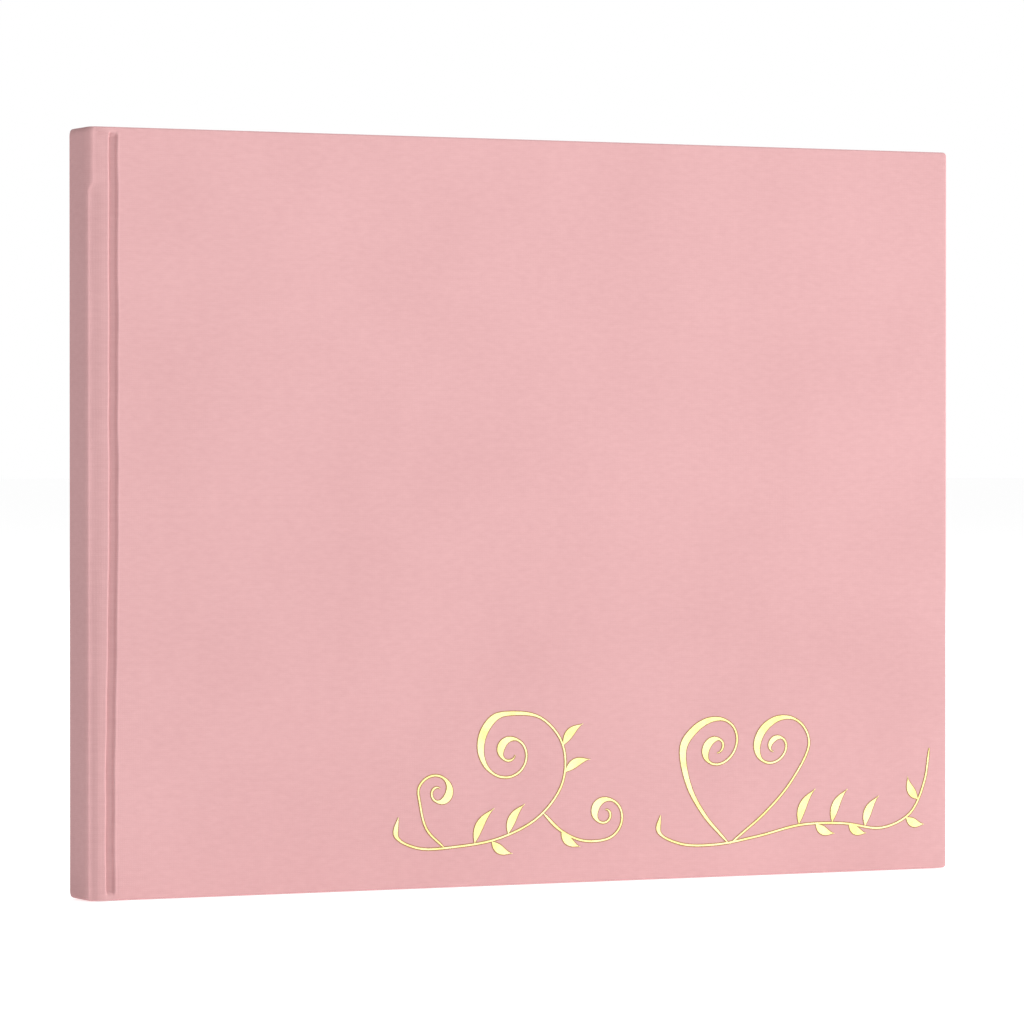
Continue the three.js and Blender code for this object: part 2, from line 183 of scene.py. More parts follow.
def cover_skin(
    add: Adder,
    shader: bpy.types.Node,
    tone: bpy.types.NodeSocket,
    colours: tuple[str, str],
    height: bpy.types.NodeSocket,
    relief: tuple[float, float],
    clamp: bool = True,
) -> None:
    """Gives a shader its colour and its relief.

    Args:
        add: add_node for the shader's tree.
        shader: The Principled node.
        tone: 0 where the surface has the first colour, 1 where it has the second.
        colours: The deep colour and the base colour.
        height: The relief's height, from 0 to 1.
        relief: The relief's real height in millimetres, and its strength.
        clamp: Whether the tone is held from 0 to 1. Below 0 it goes darker than deep.
    """
    deep, base = (linear(colour) for colour in colours)
    mix = {0: tone, 6: deep, 7: base}
    colour = add("ShaderNodeMix", mix, 2, data_type="RGBA", clamp_factor=clamp)
    bump = add("ShaderNodeBump", {"Height": height, "Distance": relief[0] * MM, "Strength": relief[1]})
    feed(shader, {"Base Color": colour, "Normal": bump})


# ---- Finishes ------------------------------------------------------------------------------


@dataclass(frozen=True)
class WovenCloth:
    """A plain-woven cloth: threads both ways, slubs, and slow drift in the dye."""

    name: str
    base: str
    deep: str
    thread_mm: float
    roughness: float
    sheen: float
    relief_mm: float
    weave_share: float = 1.0  # of the tone and relief that the crossing threads give
    slub_share: float = 0.9
    drift_share: float = 0.7
    waver: float = 3.2  # how unevenly the threads run
    slub_mm: float = 1.1
    slub_stretch: float = 0.4  # across over along: a slub is longer along the weft
    drift_mm: float = 38.0
    nub_gap_mm: float = 17.0  # between the small dark nubs in the yarn
    nub: tuple[float, float] = (0.012, 0.03)  # radius of its dark middle and of its rim, over that gap
    nub_tone: float = -0.6

    def build(self) -> bpy.types.Material:
        """Builds the cloth's material."""
        material, add, shader = new_material(self.name)
        place = add("ShaderNodeTexCoord", out="Object")
        # The weft runs round the book, so its place along the cloth is x + y on every face.
        x, y, z = add("ShaderNodeSeparateXYZ", {"Vector": place}).node.outputs
        around = add("ShaderNodeMath", {0: x, 1: y}, operation="ADD")
        on_cloth = add("ShaderNodeCombineXYZ", {"X": around, "Z": z})
        # A wave texture's phase is 20 x its scale x the distance along it.
        wave = {"Vector": on_cloth, "Scale": math.tau / (20 * self.thread_mm * MM)}
        wave |= {"Distortion": self.waver, "Detail": 2.0, "Detail Scale": 0.8}
        warp, weft = (add("ShaderNodeTexWave", wave, "Fac", bands_direction=axis) for axis in "XZ")
        crossed = add("ShaderNodeMath", {0: warp, 1: weft}, operation="MULTIPLY")
        weave = add("ShaderNodeMath", {0: crossed, 1: self.weave_share}, operation="MULTIPLY")
        drawn_out = {"Vector": on_cloth, "Scale": (self.slub_stretch, 1.0, 1.0)}
        along_weft = add("ShaderNodeMapping", drawn_out, "Vector")
        slubs = add("ShaderNodeTexNoise", grain(along_weft, self.slub_mm, 5.0, 0.62), "Fac")
        drift = add("ShaderNodeTexNoise", grain(place, self.drift_mm, 3.0), "Fac")
        cells = {"Vector": along_weft, "Scale": 1 / (self.nub_gap_mm * MM)}
        off_nub = add("ShaderNodeTexVoronoi", cells, "Distance")
        dark = {"From Min": self.nub[0], "From Max": self.nub[1], "To Min": self.nub_tone, "To Max": 0.0}
        nubs = add("ShaderNodeMapRange", {"Value": off_nub, **dark}, "Result")
        height = add("ShaderNodeMath", {0: slubs, 1: self.slub_share, 2: weave}, operation="MULTIPLY_ADD")
        mottle = add("ShaderNodeMath", {0: drift, 1: self.drift_share, 2: height}, operation="MULTIPLY_ADD")
        span = {"Value": mottle, "From Min": 0.55, "From Max": 1.15 + 0.5 * self.weave_share}
        plain = add("ShaderNodeMapRange", span, "Result")
        tone = add("ShaderNodeMath", {0: plain, 1: nubs}, operation="ADD")
        tones = (self.deep, self.base)
        cover_skin(add, shader, tone, tones, height, (self.relief_mm, 0.75), clamp=False)
        feed(shader, {"Roughness": self.roughness, "Specular IOR Level": 0.2, "IOR": 1.46})
        lustre = {"Sheen Weight": self.sheen, "Sheen Roughness": 0.55, "Sheen Tint": linear(self.base)}
        feed(shader, lustre)
        return material


@dataclass(frozen=True)
class FibrePaper:
    """Uncoated paper or board: a cloudy sheet with short fibres in it."""

    name: str
    base: str
    deep: str
    cloud_mm: float
    fibre_mm: float
    roughness: float
    relief_mm: float
    fleck: float = 0.0  # how much more the fibres show than in clean paper
    fibre_stretch: float = 0.28  # across over along

    def build(self) -> bpy.types.Material:
        """Builds the paper's material."""
        material, add, shader = new_material(self.name)
        place = add("ShaderNodeTexCoord", out="Object")
        cloud = add("ShaderNodeTexNoise", grain(place, self.cloud_mm, 3.0), "Fac")
        drawn_out = {"Vector": place, "Scale": (1.0, 1.0, self.fibre_stretch)}
        along = add("ShaderNodeMapping", drawn_out, "Vector")
        fibres = add("ShaderNodeTexNoise", grain(along, self.fibre_mm, 4.0, 0.7), "Fac")
        mixed = add("ShaderNodeMath", {0: fibres, 1: 0.35 + self.fleck, 2: cloud}, operation="MULTIPLY_ADD")
        span = {"Value": mixed, "From Min": 0.4, "From Max": 0.95 + self.fleck}
        tone = add("ShaderNodeMapRange", span, "Result")
        cover_skin(add, shader, tone, (self.deep, self.base), fibres, (self.relief_mm, 0.5))
        feed(shader, {"Roughness": self.roughness, "IOR": 1.45})
        return material


@dataclass(frozen=True)
class BlockedFoil:
    """Metallic foil pressed into cloth with a hot die: bright face, and an olive rim of painted shade."""

    name: str
    face: str
    pale: str
    rim: str
    roughness: float
    cloth_thread_mm: float
    tone_mm: float = 5.0  # size of the patches where more or less heat lightened the foil
    relief_mm: float = 0.02

    def build(self) -> bpy.types.Material:
        """Builds the foil's material. The rim, where shade is painted in olive, comes from the mesh's own rim
        attribute.
        """
        material, add, shader = new_material(self.name)
        place = add("ShaderNodeTexCoord", out="Object")
        rim = add("ShaderNodeAttribute", out="Fac", attribute_name="rim")
        pressed = add("ShaderNodeTexNoise", grain(place, self.cloth_thread_mm, 3.0, 0.6), "Fac")
        patches = add("ShaderNodeTexNoise", grain(place, self.tone_mm, 2.0), "Fac")
        tone = add("ShaderNodeMapRange", {"Value": patches, "From Min": 0.35, "From Max": 0.65}, "Result")
        lit = {0: tone, 6: linear(self.face), 7: linear(self.pale)}
        bright = add("ShaderNodeMix", lit, 2, data_type="RGBA")
        # The rim colour is painted shade: the dark line that the foil's bevelled edge shows all round.
        colour = add("ShaderNodeMix", {0: rim, 6: bright, 7: linear(self.rim)}, 2, data_type="RGBA")
        shine = {"Value": pressed, "From Min": 0.3, "From Max": 0.7}
        shine |= {"To Min": self.roughness - 0.06, "To Max": self.roughness + 0.1}
        rough = add("ShaderNodeMapRange", shine, "Result")
        bump = add("ShaderNodeBump", {"Height": pressed, "Distance": self.relief_mm * MM, "Strength": 0.5})
        feed(shader, {"Base Color": colour, "Roughness": rough, "Normal": bump, "Metallic": 1.0})
        return material


@dataclass(frozen=True)
class DriedGlue:
    """White binder's glue, dried to a smooth, slightly yellow skin with brush ridges."""

    name: str
    base: str
    deep: str
    roughness: float
    ridge_mm: float = 0.7
    ridge_stretch: float = 0.12  # across over along
    relief_mm: float = 0.08

    def build(self) -> bpy.types.Material:
        """Builds the glue's material."""
        material, add, shader = new_material(self.name)
        place = add("ShaderNodeTexCoord", out="Object")
        drawn_out = {"Vector": place, "Scale": (1.0, 1.0, self.ridge_stretch)}
        brushed = add("ShaderNodeMapping", drawn_out, "Vector")
        ridges = add("ShaderNodeTexNoise", grain(brushed, self.ridge_mm, 3.0), "Fac")
        cover_skin(add, shader, ridges, (self.deep, self.base), ridges, (self.relief_mm, 0.6))
        feed(shader, {"Roughness": self.roughness, "Subsurface Weight": 0.1})
        return material


# Dyed cotton bookcloth, starch filled and calendered: matte, with a thread just fine enough to
# read as a soft grain. The real thread is near 0.25 mm, drawn at 0.45 mm so that it shows.
BOOKCLOTH = WovenCloth("bookcloth_dusty_pink", "c59a9b", "ba8f90", 0.45, 0.85, 0.08, 0.05, 0.22)
# Open starched cotton gauze, drawn at its own 1.2 mm mesh.
MULL = WovenCloth("mull_starched_cotton", "f1ebdc", "cfc6b2", 1.2, 0.9, 0.05, 0.12)
# Waxed linen thread and the white woven band: matte, with a slight lustre from wax or from warp.
THREAD = WovenCloth("linen_thread_waxed", "f2eee4", "d8d0bf", 0.3, 0.55, 0.1, 0.04)
BAND = WovenCloth("end_band_white_cotton", "faf7f1", "e2dccf", 0.5, 0.6, 0.25, 0.05)
# Grey chipboard, pressed from waste paper: dull, with darker flecks.
GREYBOARD = FibrePaper("greyboard_chip", "a39c91", "7f786e", 3.0, 0.35, 0.92, 0.05, 0.35)
# Wove paper: warm white with a soft cloud and hardly any tooth.
ENDPAPER = FibrePaper("endpaper_wove", "f8f5ed", "f3efe5", 9.0, 0.5, 0.85, 0.01)
PAGE_PAPER = FibrePaper("page_paper_wove", "faf8f2", "f5f2ea", 7.0, 0.4, 0.86, 0.01)
# Unbleached kraft paper: brown, with long fibres along the sheet.
KRAFT = FibrePaper("kraft_paper_unbleached", "b98d5f", "9c7246", 2.5, 0.3, 0.88, 0.03, 0.2)
# Hot-stamped foil, an aluminium film lacquered pale gold: mirror-like but broken by the cloth
# under it, with an olive line painted round its edge as painted shade.
FOIL = BlockedFoil("hot_stamped_foil_pale_gold", "f6ec9c", "fbf4bc", "a07850", 0.28, 0.5)
# Polyvinyl glue, brushed on: a smooth skin with a soft shine.
GLUE = DriedGlue("binders_glue_dried", "f3ecd6", "e0d5b6", 0.42)


class Finishes:
    """Every finish of the book, built once."""

    BY_SLOT = {
        "bookcloth": BOOKCLOTH, "gold_foil": FOIL, "greyboard": GREYBOARD, "endpaper": ENDPAPER,
        "page_paper": PAGE_PAPER, "kraft_paper": KRAFT, "mull": MULL, "binders_glue": GLUE,
        "linen_thread": THREAD, "band_cloth": BAND,
    }

    def __init__(self) -> None:
        """Builds the materials by the record's slot names."""
        self.by_slot: dict[str, bpy.types.Material] = {s: f.build() for s, f in self.BY_SLOT.items()}

    def dress(self, piece: bpy.types.Object, slot: str) -> None:
        """Gives a piece the finish of a slot."""
        piece.data.materials.clear()
        piece.data.materials.append(self.by_slot[slot])

    def dress_frame(self, frame: dict) -> None:
        """Gives each of the frame's own nodes the finish of its slot."""
        for row in frame["record"]["subparts"]:
            node = frame["nodes"][row["node"]]
            material = self.by_slot[row["material_slot"]]
            if node.material_slots:
                for held in node.material_slots:
                    held.material = material
            else:
                node.data.materials.append(material)


# ---- Mesh helpers --------------------------------------------------------------------------


def to_object(
    name: str, verts: Sequence[Sequence[float]], faces: Sequence[Sequence[int]]
) -> bpy.types.Object:
    """Makes a linked mesh object from points and faces.

    Args:
        name: The object's name.
        verts: Points in metres.
        faces: Corner numbers of each face.

    Returns:
        The object, at the origin.
    """
    mesh = bpy.data.meshes.new(name)
    mesh.from_pydata([tuple(map(float, v)) for v in verts], [], [tuple(f) for f in faces])
    mesh.validate()
    made = bpy.data.objects.new(name, mesh)
    bpy.context.scene.collection.objects.link(made)
    return made


def tidy_mesh(piece: bpy.types.Object, merge: float = 1e-7) -> None:
    """Merges doubled points and turns every face outwards."""
    work = bmesh.new()
    work.from_mesh(piece.data)
    bmesh.ops.remove_doubles(work, verts=work.verts, dist=merge)
    bmesh.ops.dissolve_degenerate(work, edges=work.edges, dist=merge)
    bmesh.ops.recalc_face_normals(work, faces=work.faces)
    work.to_mesh(piece.data)
    work.free()
    piece.data.update()


def shade(piece: bpy.types.Object, degrees: float) -> None:
    """Shades a piece smooth, with a crisp edge wherever it turns by more than an angle."""
    piece.data.shade_smooth()
    piece.data.set_sharp_from_angle(angle=math.radians(degrees))


def apply_modifiers(piece: bpy.types.Object) -> None:
    """Turns a piece's modifiers into its mesh, and removes them."""
    graph = bpy.context.evaluated_depsgraph_get()
    final = bpy.data.meshes.new_from_object(piece.evaluated_get(graph), depsgraph=graph)
    old = piece.data
    piece.modifiers.clear()
    piece.data = final
    bpy.data.meshes.remove(old)


def face_corners(shape: tuple[int, int], *places: tuple[int, int, int]) -> tuple[int, ...]:
    """Point numbers of a face's corners in a block of points.

    Args:
        shape: The block's columns per layer, and points per column.
        places: Each corner's layer, column and point.

    Returns:
        The corners' numbers.
    """
    across, along = shape
    return tuple((layer * across + i) * along + j for layer, i, j in places)


def sheet_solid(
    name: str,
    columns: Sequence[float],
    rows: Sequence[float],
    outer: Callable[[float, float], float],
    inner: Callable[[float, float], float],
) -> bpy.types.Object:
    """Makes a thin closed sheet that lies across Y, with its two faces at given depths.

    Args:
        name: The object's name.
        columns: Places along X.
        rows: Places along Z.
        outer: Gives the first face's Y at a place along X and Z.
        inner: Gives the second face's Y there.

    Returns:
        The closed sheet.
    """
    wide, high = len(columns), len(rows)
    verts = [(x, face(x, z), z) for face in (outer, inner) for x in columns for z in rows]
    quad = partial(face_corners, (wide, high))
    faces: list[tuple[int, ...]] = []
    for i in range(wide - 1):
        for j in range(high - 1):
            for layer in (0, 1):
                faces.append(quad((layer, i, j), (layer, i + 1, j), (layer, i + 1, j + 1), (layer, i, j + 1)))
    for i in range(wide - 1):
        for j in (0, high - 1):
            faces.append(quad((0, i, j), (0, i + 1, j), (1, i + 1, j), (1, i, j)))
    for j in range(high - 1):
        for i in (0, wide - 1):
            faces.append(quad((0, i, j), (0, i, j + 1), (1, i, j + 1), (1, i, j)))
    made = to_object(name, verts, faces)
    tidy_mesh(made, 1e-9)
    return made


def smoothstep(value: float) -> float:
    """Eases a share from 0 to 1, held at both ends."""
    held = min(1.0, max(0.0, value))
    return held * held * (3 - 2 * held)


def spread(start: float, end: float, steps: int) -> list[float]:
    """Evenly spaced values from start to end, both included."""
    return [start + (end - start) * i / steps for i in range(steps + 1)]


# ---- Case cloth ----------------------------------------------------------------------------


@dataclass
class CaseCloth:
    """One half of the case cloth, from the middle of the spine to its cover's turn-ins.

    The real cloth is one piece. It is made here in two halves that meet along the middle of the
    spine.
    """

    side: Side
    low: Vector
    high: Vector
    edge_radius: float = 0.5 * MM
    corner_radius: float = 1.0 * MM
    spine_edge_radius: float = 0.7 * MM
    head_edge_radius: float = 1.7 * MM  # fuller on the front, where the turned-in cloth is doubled
    end_length: float = 1.8 * MM  # of the spine's rounding at head and tail
    end_inset: float = 0.7 * MM
    shoulder: float = 5.1 * MM
    front_ease: float = 0.85 * MM  # how far the joint lies below the cover at the spine's edge
    head_ease: float = 0.35 * MM  # the same where the doubled cloth holds it up
    back_ease: float = 0.1 * MM
    groove_width: float = 2.4 * MM
    groove_depth: float = 0.9 * MM
    groove_wall: float = 0.24  # share of the groove's width that its steep spine side takes
    lip: float = 0.05 * MM  # ridge that the pressing raised on each side of the groove
    lean: float = -0.85 * MM  # how far the joint leans towards the spine at the tail
    board_gap: float = 0.25 * MM
    cover_wrap: float = 3.14 * MM  # outside of the cloth to the outside of its turn-in
    joint_wrap: float = 0.66 * MM
    spine_wrap: float = 2.74 * MM
    thickness: float = 0.3 * MM
    doubled_from: float = 1 * MM  # past the turn-in's end, where the doubled cloth starts to show
    doubled_rise: float = 2.5 * MM
    ease_power: float = 0.8
    groove_slope: float = 0.62  # share of the depth that is lost on the way to the board
    groove_far_wall: float = 0.34  # share of that way that the wall at the board takes
    spine_lip: Point2 = (0.25 * MM, 0.35 * MM)  # how far outside the groove it stands, and its width
    board_lip: Point2 = (0.16 * MM, 0.2 * MM)
    board_lip_share: float = 0.8  # of the spine lip's height
    lip_run: float = 0.8 * MM  # from the board's edge to the flat cover
    pressed_from: float = 0.9 * MM  # distance from head and tail at which the groove starts
    pressed_rise: float = 1.5 * MM
    lean_below: float = 90 * MM  # height under which the joint leans
    lean_rise: float = 70 * MM
    lean_start: float = 2 * MM  # stretch past the spine's edge over which the lean comes in
    wander: float = 1.5  # of the ripple, along X
    uneven_share: float = 0.5  # of the ripple, in depth
    uneven_rise: Point2 = (1 * MM, 0.5 * MM)  # at the spine's edge, and at the board
    crease_height: float = 0.1 * MM
    crease_gap: float = 0.85 * MM
    crease_slant: float = 700.0  # radians along X, per metre
    head_crease_reach: float = 3.2 * MM
    head_crease_rise: float = 1.8 * MM
    tail_crease_reach: float = 3 * MM
    tail_crease_share: float = 0.6
    spine_bulge: float = 0.1 * MM
    spine_turn: float = 5.0 * MM  # depth at which the turned-in cloth starts for the joint
    inner_corner: float = 0.06 * MM
    tail_rows: float = 8 * MM  # reach of the closer rows
    head_rows: float = 17 * MM
    bend_from: float = 0.07 * MM  # past the spine's turned-in cloth
    bend_short: float = 0.15 * MM  # of the board
    seed: int = 11
    waves: list[tuple[float, float, float]] = field(default_factory=list)

    def __post_init__(self) -> None:
        """Draws the seeded waves that keep the joint from being ruler straight."""
        draw = random.Random(self.seed + self.side.value)
        self.waves = [
            (draw.uniform(9, 42) * MM, draw.uniform(0, math.tau), draw.uniform(0.012, 0.03) * MM)
            for _ in range(5)
        ]

    @property
    def height(self) -> float:
        """Tail to head, over the cloth."""
        return self.high.z - self.low.z

    @property
    def half_depth(self) -> float:
        """From the middle of the book to a cover's outside."""
        return (self.high.y - self.low.y) / 2

    @property
    def groove_start(self) -> float:
        """Where the flat shoulder drops into the groove."""
        return self.low.x + self.shoulder

    @property
    def board_x(self) -> float:
        """The spine edge of the cover board."""
        return self.groove_start + self.groove_width + self.board_gap

    def doubled(self, z: float) -> float:
        """1 where the front joint's cloth is doubled by the turn-in at the head, and 0 below it."""
        if self.side is Side.BACK:
            return 0.0
        start = self.high.z - TURN_IN - self.doubled_from
        return smoothstep((z - start) / self.doubled_rise)

    def edge_at(self, z: float) -> float:
        """The spine edge's radius at a height."""
        return self.spine_edge_radius + (self.head_edge_radius - self.spine_edge_radius) * self.doubled(z)

    def ease_at(self, z: float) -> float:
        """How far the spine's edge lies below the cover at a height."""
        if self.side is Side.BACK:
            return self.back_ease
        return self.front_ease + (self.head_ease - self.front_ease) * self.doubled(z)

    @property
    def bend_end(self) -> float:
        """Where the joint's bend ends, just short of the board."""
        return self.board_x - self.bend_short

    def end(self, head: bool) -> tuple[float, int]:
        """Height of the head or of the tail, and which way is inwards from it."""
        return (self.high.z, -1) if head else (self.low.z, 1)

    def from_end(self, z: float) -> float:
        """Distance to the nearer of head and tail."""
        return min(self.high.z - z, z - self.low.z)

    def inset_at(self, z: float) -> float:
        """How far the spine's face rounds in from its flat near the head and the tail."""
        past = min(1.0, max(0.0, 1 - self.from_end(z) / self.end_length))
        return self.end_inset * (1 - math.sqrt(1 - past**2))

    def ripple(self, z: float) -> float:
        """The joint's slow unevenness at a height."""
        return sum(size * math.sin(math.tau * z / length + phase) for length, phase, size in self.waves)

    def wrinkle(self, x: float, z: float) -> float:
        """Fine creases across the head and the tail of the joint, where the cloth was turned over."""
        head_share = (self.head_crease_reach - (self.high.z - z)) / self.head_crease_rise
        tail_share = 1 - (z - self.low.z) / self.tail_crease_reach
        near_ends = smoothstep(head_share) + self.tail_crease_share * smoothstep(tail_share)
        across = min(1.0, max(0.0, (x - self.low.x) / (self.board_x - self.low.x)))
        mid_joint = math.sin(math.pi * across)
        phase = math.tau * z / self.crease_gap + self.crease_slant * x
        return self.crease_height * near_ends * mid_joint * math.sin(phase)

    def drift(self, z: float) -> float:
        """How far along X the groove has wandered at a height."""
        leaning = smoothstep((self.lean_below - (z - self.low.z)) / self.lean_rise)
        return self.lean * leaning + self.wander * self.ripple(z)

    def groove(self, along: float) -> float:
        """Depth of the pressed groove: a steep spine side, then a slow rise to the board's edge.

        Args:
            along: Distance past the groove's start.

        Returns:
            The depth below the cover, in metres.
        """
        share = along / self.groove_width
        if not 0 < share < 1:
            return 0.0
        if share < self.groove_wall:
            return self.groove_depth * smoothstep(share / self.groove_wall)
        rise = (share - self.groove_wall) / (1 - self.groove_wall)
        floor = self.groove_depth * (1 - self.groove_slope * rise)
        return floor * smoothstep((1 - rise) / self.groove_far_wall)

    def ridge(self, off: float, width: float) -> float:
        """Height of a lip at a distance from its top."""
        return self.lip * math.exp(-((off / width) ** 2))

    def joint_depth(self, x: float, z: float) -> float:
        """Depth of the cloth's outside anywhere between the spine edge and the board's lip."""
        start = self.low.x + self.edge_at(z)
        along = x - self.drift(z) * smoothstep((x - start) / self.lean_start) - self.groove_start
        share = min(1.0, max(0.0, 1 + along / (self.groove_start - start)))
        slope = self.ease_at(z) * (1 - smoothstep(share**self.ease_power))
        lips = self.ridge(along + self.spine_lip[0], self.spine_lip[1])
        past = along - self.groove_width - self.board_lip[0]
        lips += self.board_lip_share * self.ridge(past, self.board_lip[1])
        near, far = self.uneven_rise
        fade = smoothstep((x - start) / near) * smoothstep((self.board_x - x) / far)
        uneven = fade * (self.uneven_share * self.ripple(z) + self.wrinkle(x, z))
        pressed = smoothstep((self.from_end(z) - self.pressed_from) / self.pressed_rise)
        return slope + pressed * (self.groove(along) - lips) + uneven

    @property
    def joint_end(self) -> float:
        """Where the board's lip has run out and the cover is flat."""
        return self.board_x + self.lip_run

    def stations(self) -> list[tuple[str, float]]:
        """The columns of the cloth from the spine's middle to the fore corner, by stretch."""
        fore = self.high.x - self.corner_radius
        marks = [("spine", t) for t in spread(0, 1, 8)]
        marks += [("corner", t) for t in spread(0, 1, 9)[1:]]
        marks += [("shoulder", t) for t in spread(0, 1, 40)[1:]]
        marks += [("flat", x) for x in spread(self.groove_start, self.joint_end, 38)[1:]]
        marks += [("flat", x) for x in spread(self.joint_end, fore, 40)[1:]]
        return marks

    def outside(self, kind: str, value: float, z: float) -> Point2:
        """A column's point on the cloth's outside, along X and in from the cover's face."""
        radius, start_depth = self.edge_at(z), self.edge_at(z) + self.ease_at(z)
        face_x = self.low.x + self.inset_at(z)
        if kind == "spine":
            across = (self.half_depth - start_depth) * value
            bulge = self.spine_bulge * (1 - (across / self.half_depth) ** 2)
            return face_x - bulge, self.half_depth - across
        edge_depth = self.joint_depth(self.low.x + radius, z)
        if kind == "corner":
            turn = value * math.pi / 2
            depth = start_depth - (start_depth - edge_depth) * math.sin(turn)
            return face_x + radius * (1 - math.cos(turn)), depth
        if kind == "shoulder":
            start = face_x + radius
            x = start + (self.groove_start - start) * value
            return x, self.joint_depth(x, z)
        if value < self.joint_end:
            return value, self.joint_depth(value, z)
        return value, 0.0

    def inside(self, kind: str, value: float, z: float) -> Point2:
        """The matching point on the outside of the turned-in cloth."""
        spine_x = self.low.x + self.spine_wrap
        end = self.half_depth - self.spine_turn
        corner_x = spine_x + self.inner_corner
        if kind == "spine":
            return spine_x, self.half_depth - (self.half_depth - end) * value
        if kind == "corner":
            depth = self.joint_depth(corner_x, z) + self.joint_wrap
            return spine_x + (corner_x - spine_x) * value, end - (end - depth) * value
        if kind == "shoulder":
            x = corner_x + (self.groove_start - corner_x) * value
            return x, self.joint_depth(x, z) + self.joint_wrap
        share = smoothstep((value - (self.board_x - self.board_gap)) / self.board_gap)
        depth = self.outside(kind, value, z)[1]
        return value, depth + self.joint_wrap + (self.cover_wrap - self.joint_wrap) * share

    def wrap_steps(self, wrap: float) -> list[Point2]:
        """How the cloth goes over an edge: (in from the edge, share of the wrap's depth)."""
        radius = min(self.edge_radius, wrap / 2)
        turns = spread(0, math.pi / 2, 5)
        over = [(radius * (1 - math.sin(t)), radius * (1 - math.cos(t))) for t in turns]
        back = [(a, wrap - depth) for a, depth in reversed(over)]
        run = [(radius + (TURN_IN - radius) * t, wrap) for t in spread(0, 1, 10)[1:]]
        return [(a, depth / wrap) for a, depth in over + back + run]

    def place(self, x: float, depth: float, z: float) -> Vector:
        """A point given by its depth below this side's cover face."""
        return Vector((x, self.side.value * (self.half_depth - depth), z))

    def column_edge(self, kind: str, value: float, head: bool) -> list[Vector]:
        """One column's cloth as it goes over the head or the tail edge."""
        z_edge, inwards = self.end(head)
        x0, d0 = self.outside(kind, value, z_edge)
        x1, d1 = self.inside(kind, value, z_edge)
        wrap = math.hypot(x1 - x0, d1 - d0)
        points = []
        for a, share in self.wrap_steps(wrap):
            z = z_edge + inwards * a
            xo, do = self.outside(kind, value, z)
            xi, di = self.inside(kind, value, z)
            x = xo + (xi - xo) * share
            if kind == "flat":
                x = min(x, self.high.x - max(a, self.corner_radius))
            points.append(self.place(x, do + (di - do) * share, z))
        return points

    def corner_edge(self, turn: float, head: bool) -> list[Vector]:
        """The cloth over the edge at one angle of a fore corner, mitred on the inside."""
        z_edge, inwards = self.end(head)
        points = []
        for a, share in self.wrap_steps(self.cover_wrap):
            inset = max(a, self.corner_radius)
            radius = inset - a
            x = self.high.x - inset + radius * math.sin(turn)
            z = z_edge + inwards * (inset - radius * math.cos(turn))
            points.append(self.place(x, share * self.cover_wrap, z))
        return points

    def fore_edge(self, z: float) -> list[Vector]:
        """The cloth over the fore-edge at a height, mitred towards head and tail."""
        points = []
        for a, share in self.wrap_steps(self.cover_wrap):
            inset = max(a, self.corner_radius)
            held = min(max(z, self.low.z + inset), self.high.z - inset)
            points.append(self.place(self.high.x - a, share * self.cover_wrap, held))
        return points

    def rows(self) -> list[float]:
        """Heights of the face's rows, closer together at the head and the tail."""
        low, high, corner = self.low.z, self.high.z, self.corner_radius
        tail = spread(low + corner, low + self.tail_rows, 22)
        middle = spread(low + self.tail_rows, high - self.head_rows, 60)[1:]
        head = spread(high - self.head_rows, high - corner, 90)[1:]
        return tail + middle + head

    def build(self) -> bpy.types.Object:
        """Builds this half as one closed shell of cloth."""
        columns, rows = self.stations(), self.rows()
        turns = [0.0, *spread(0, math.pi / 2, 6)[1:-1], math.pi / 2]
        verts: list[Vector] = []
        faces: list[tuple[int, ...]] = []

        def strip(lines: Sequence[Sequence[Vector]]) -> None:
            """Adds the faces between neighbouring lines of points."""
            first, long = len(verts), len(lines[0])
            for line in lines:
                verts.extend(line)
            for i in range(len(lines) - 1):
                for k in range(long - 1):
                    a = first + i * long + k
                    faces.append((a, a + 1, a + long + 1, a + long))

        strip([[self.place(*self.outside(kind, v, z), z) for z in rows] for kind, v in columns])
        head = [self.column_edge(kind, v, True) for kind, v in columns]
        tail = [self.column_edge(kind, v, False) for kind, v in columns]
        head_corner = [self.corner_edge(t, True) for t in turns]
        tail_corner = [self.corner_edge(t, False) for t in turns]
        fore = [self.fore_edge(z) for z in rows]
        for loop in (head, tail, head_corner, tail_corner, fore):
            strip(loop)
        # The narrow strips of face between the rows or columns and the rounded edges.
        for z, edge in ((rows[-1], head), (rows[0], tail)):
            starts = [self.place(*self.outside(kind, v, z), z) for kind, v in columns]
            strip([[start, line[0]] for start, line in zip(starts, edge)])
        inner_x = self.high.x - self.corner_radius
        strip([[self.place(inner_x, 0.0, z), line[0]] for z, line in zip(rows, fore)])
        for z, corner in ((rows[-1], head_corner), (rows[0], tail_corner)):
            hub = len(verts)
            verts.append(self.place(inner_x, 0.0, z))
            verts.extend(line[0] for line in corner)
            faces.extend((hub, hub + 1 + i, hub + 2 + i) for i in range(len(corner) - 1))

        cloth = to_object(f"{self.side.word}_case_cloth", verts, faces)
        tidy_mesh(cloth, 2e-6)
        self.face_out(cloth)
        thick = cloth.modifiers.new("cloth", "SOLIDIFY")
        thick.thickness = self.thickness
        thick.offset = -1.0
        thick.use_even_offset = False
        apply_modifiers(cloth)
        shade(cloth, 48)
        return cloth

    def face_out(self, cloth: bpy.types.Object) -> None:
        """Turns the whole shell over if its cover face points into the book."""
        middle = self.place(0.0, 0.0, self.height / 2)
        nearest = min(cloth.data.polygons, key=lambda p: (p.center - middle).length)
        if nearest.normal.y * self.side.value < 0:
            cloth.data.flip_normals()

    def attach(self, cloth: bpy.types.Object) -> None:
        """Bakes the cloth's placement into its mesh and hides the frame's cloth nodes that it replaces."""
        word = self.side.word
        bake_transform(cloth)
        nodes = [f"{word}_cover_cloth"] + (["spine_cloth"] if self.side is Side.FRONT else [])
        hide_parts(*nodes)


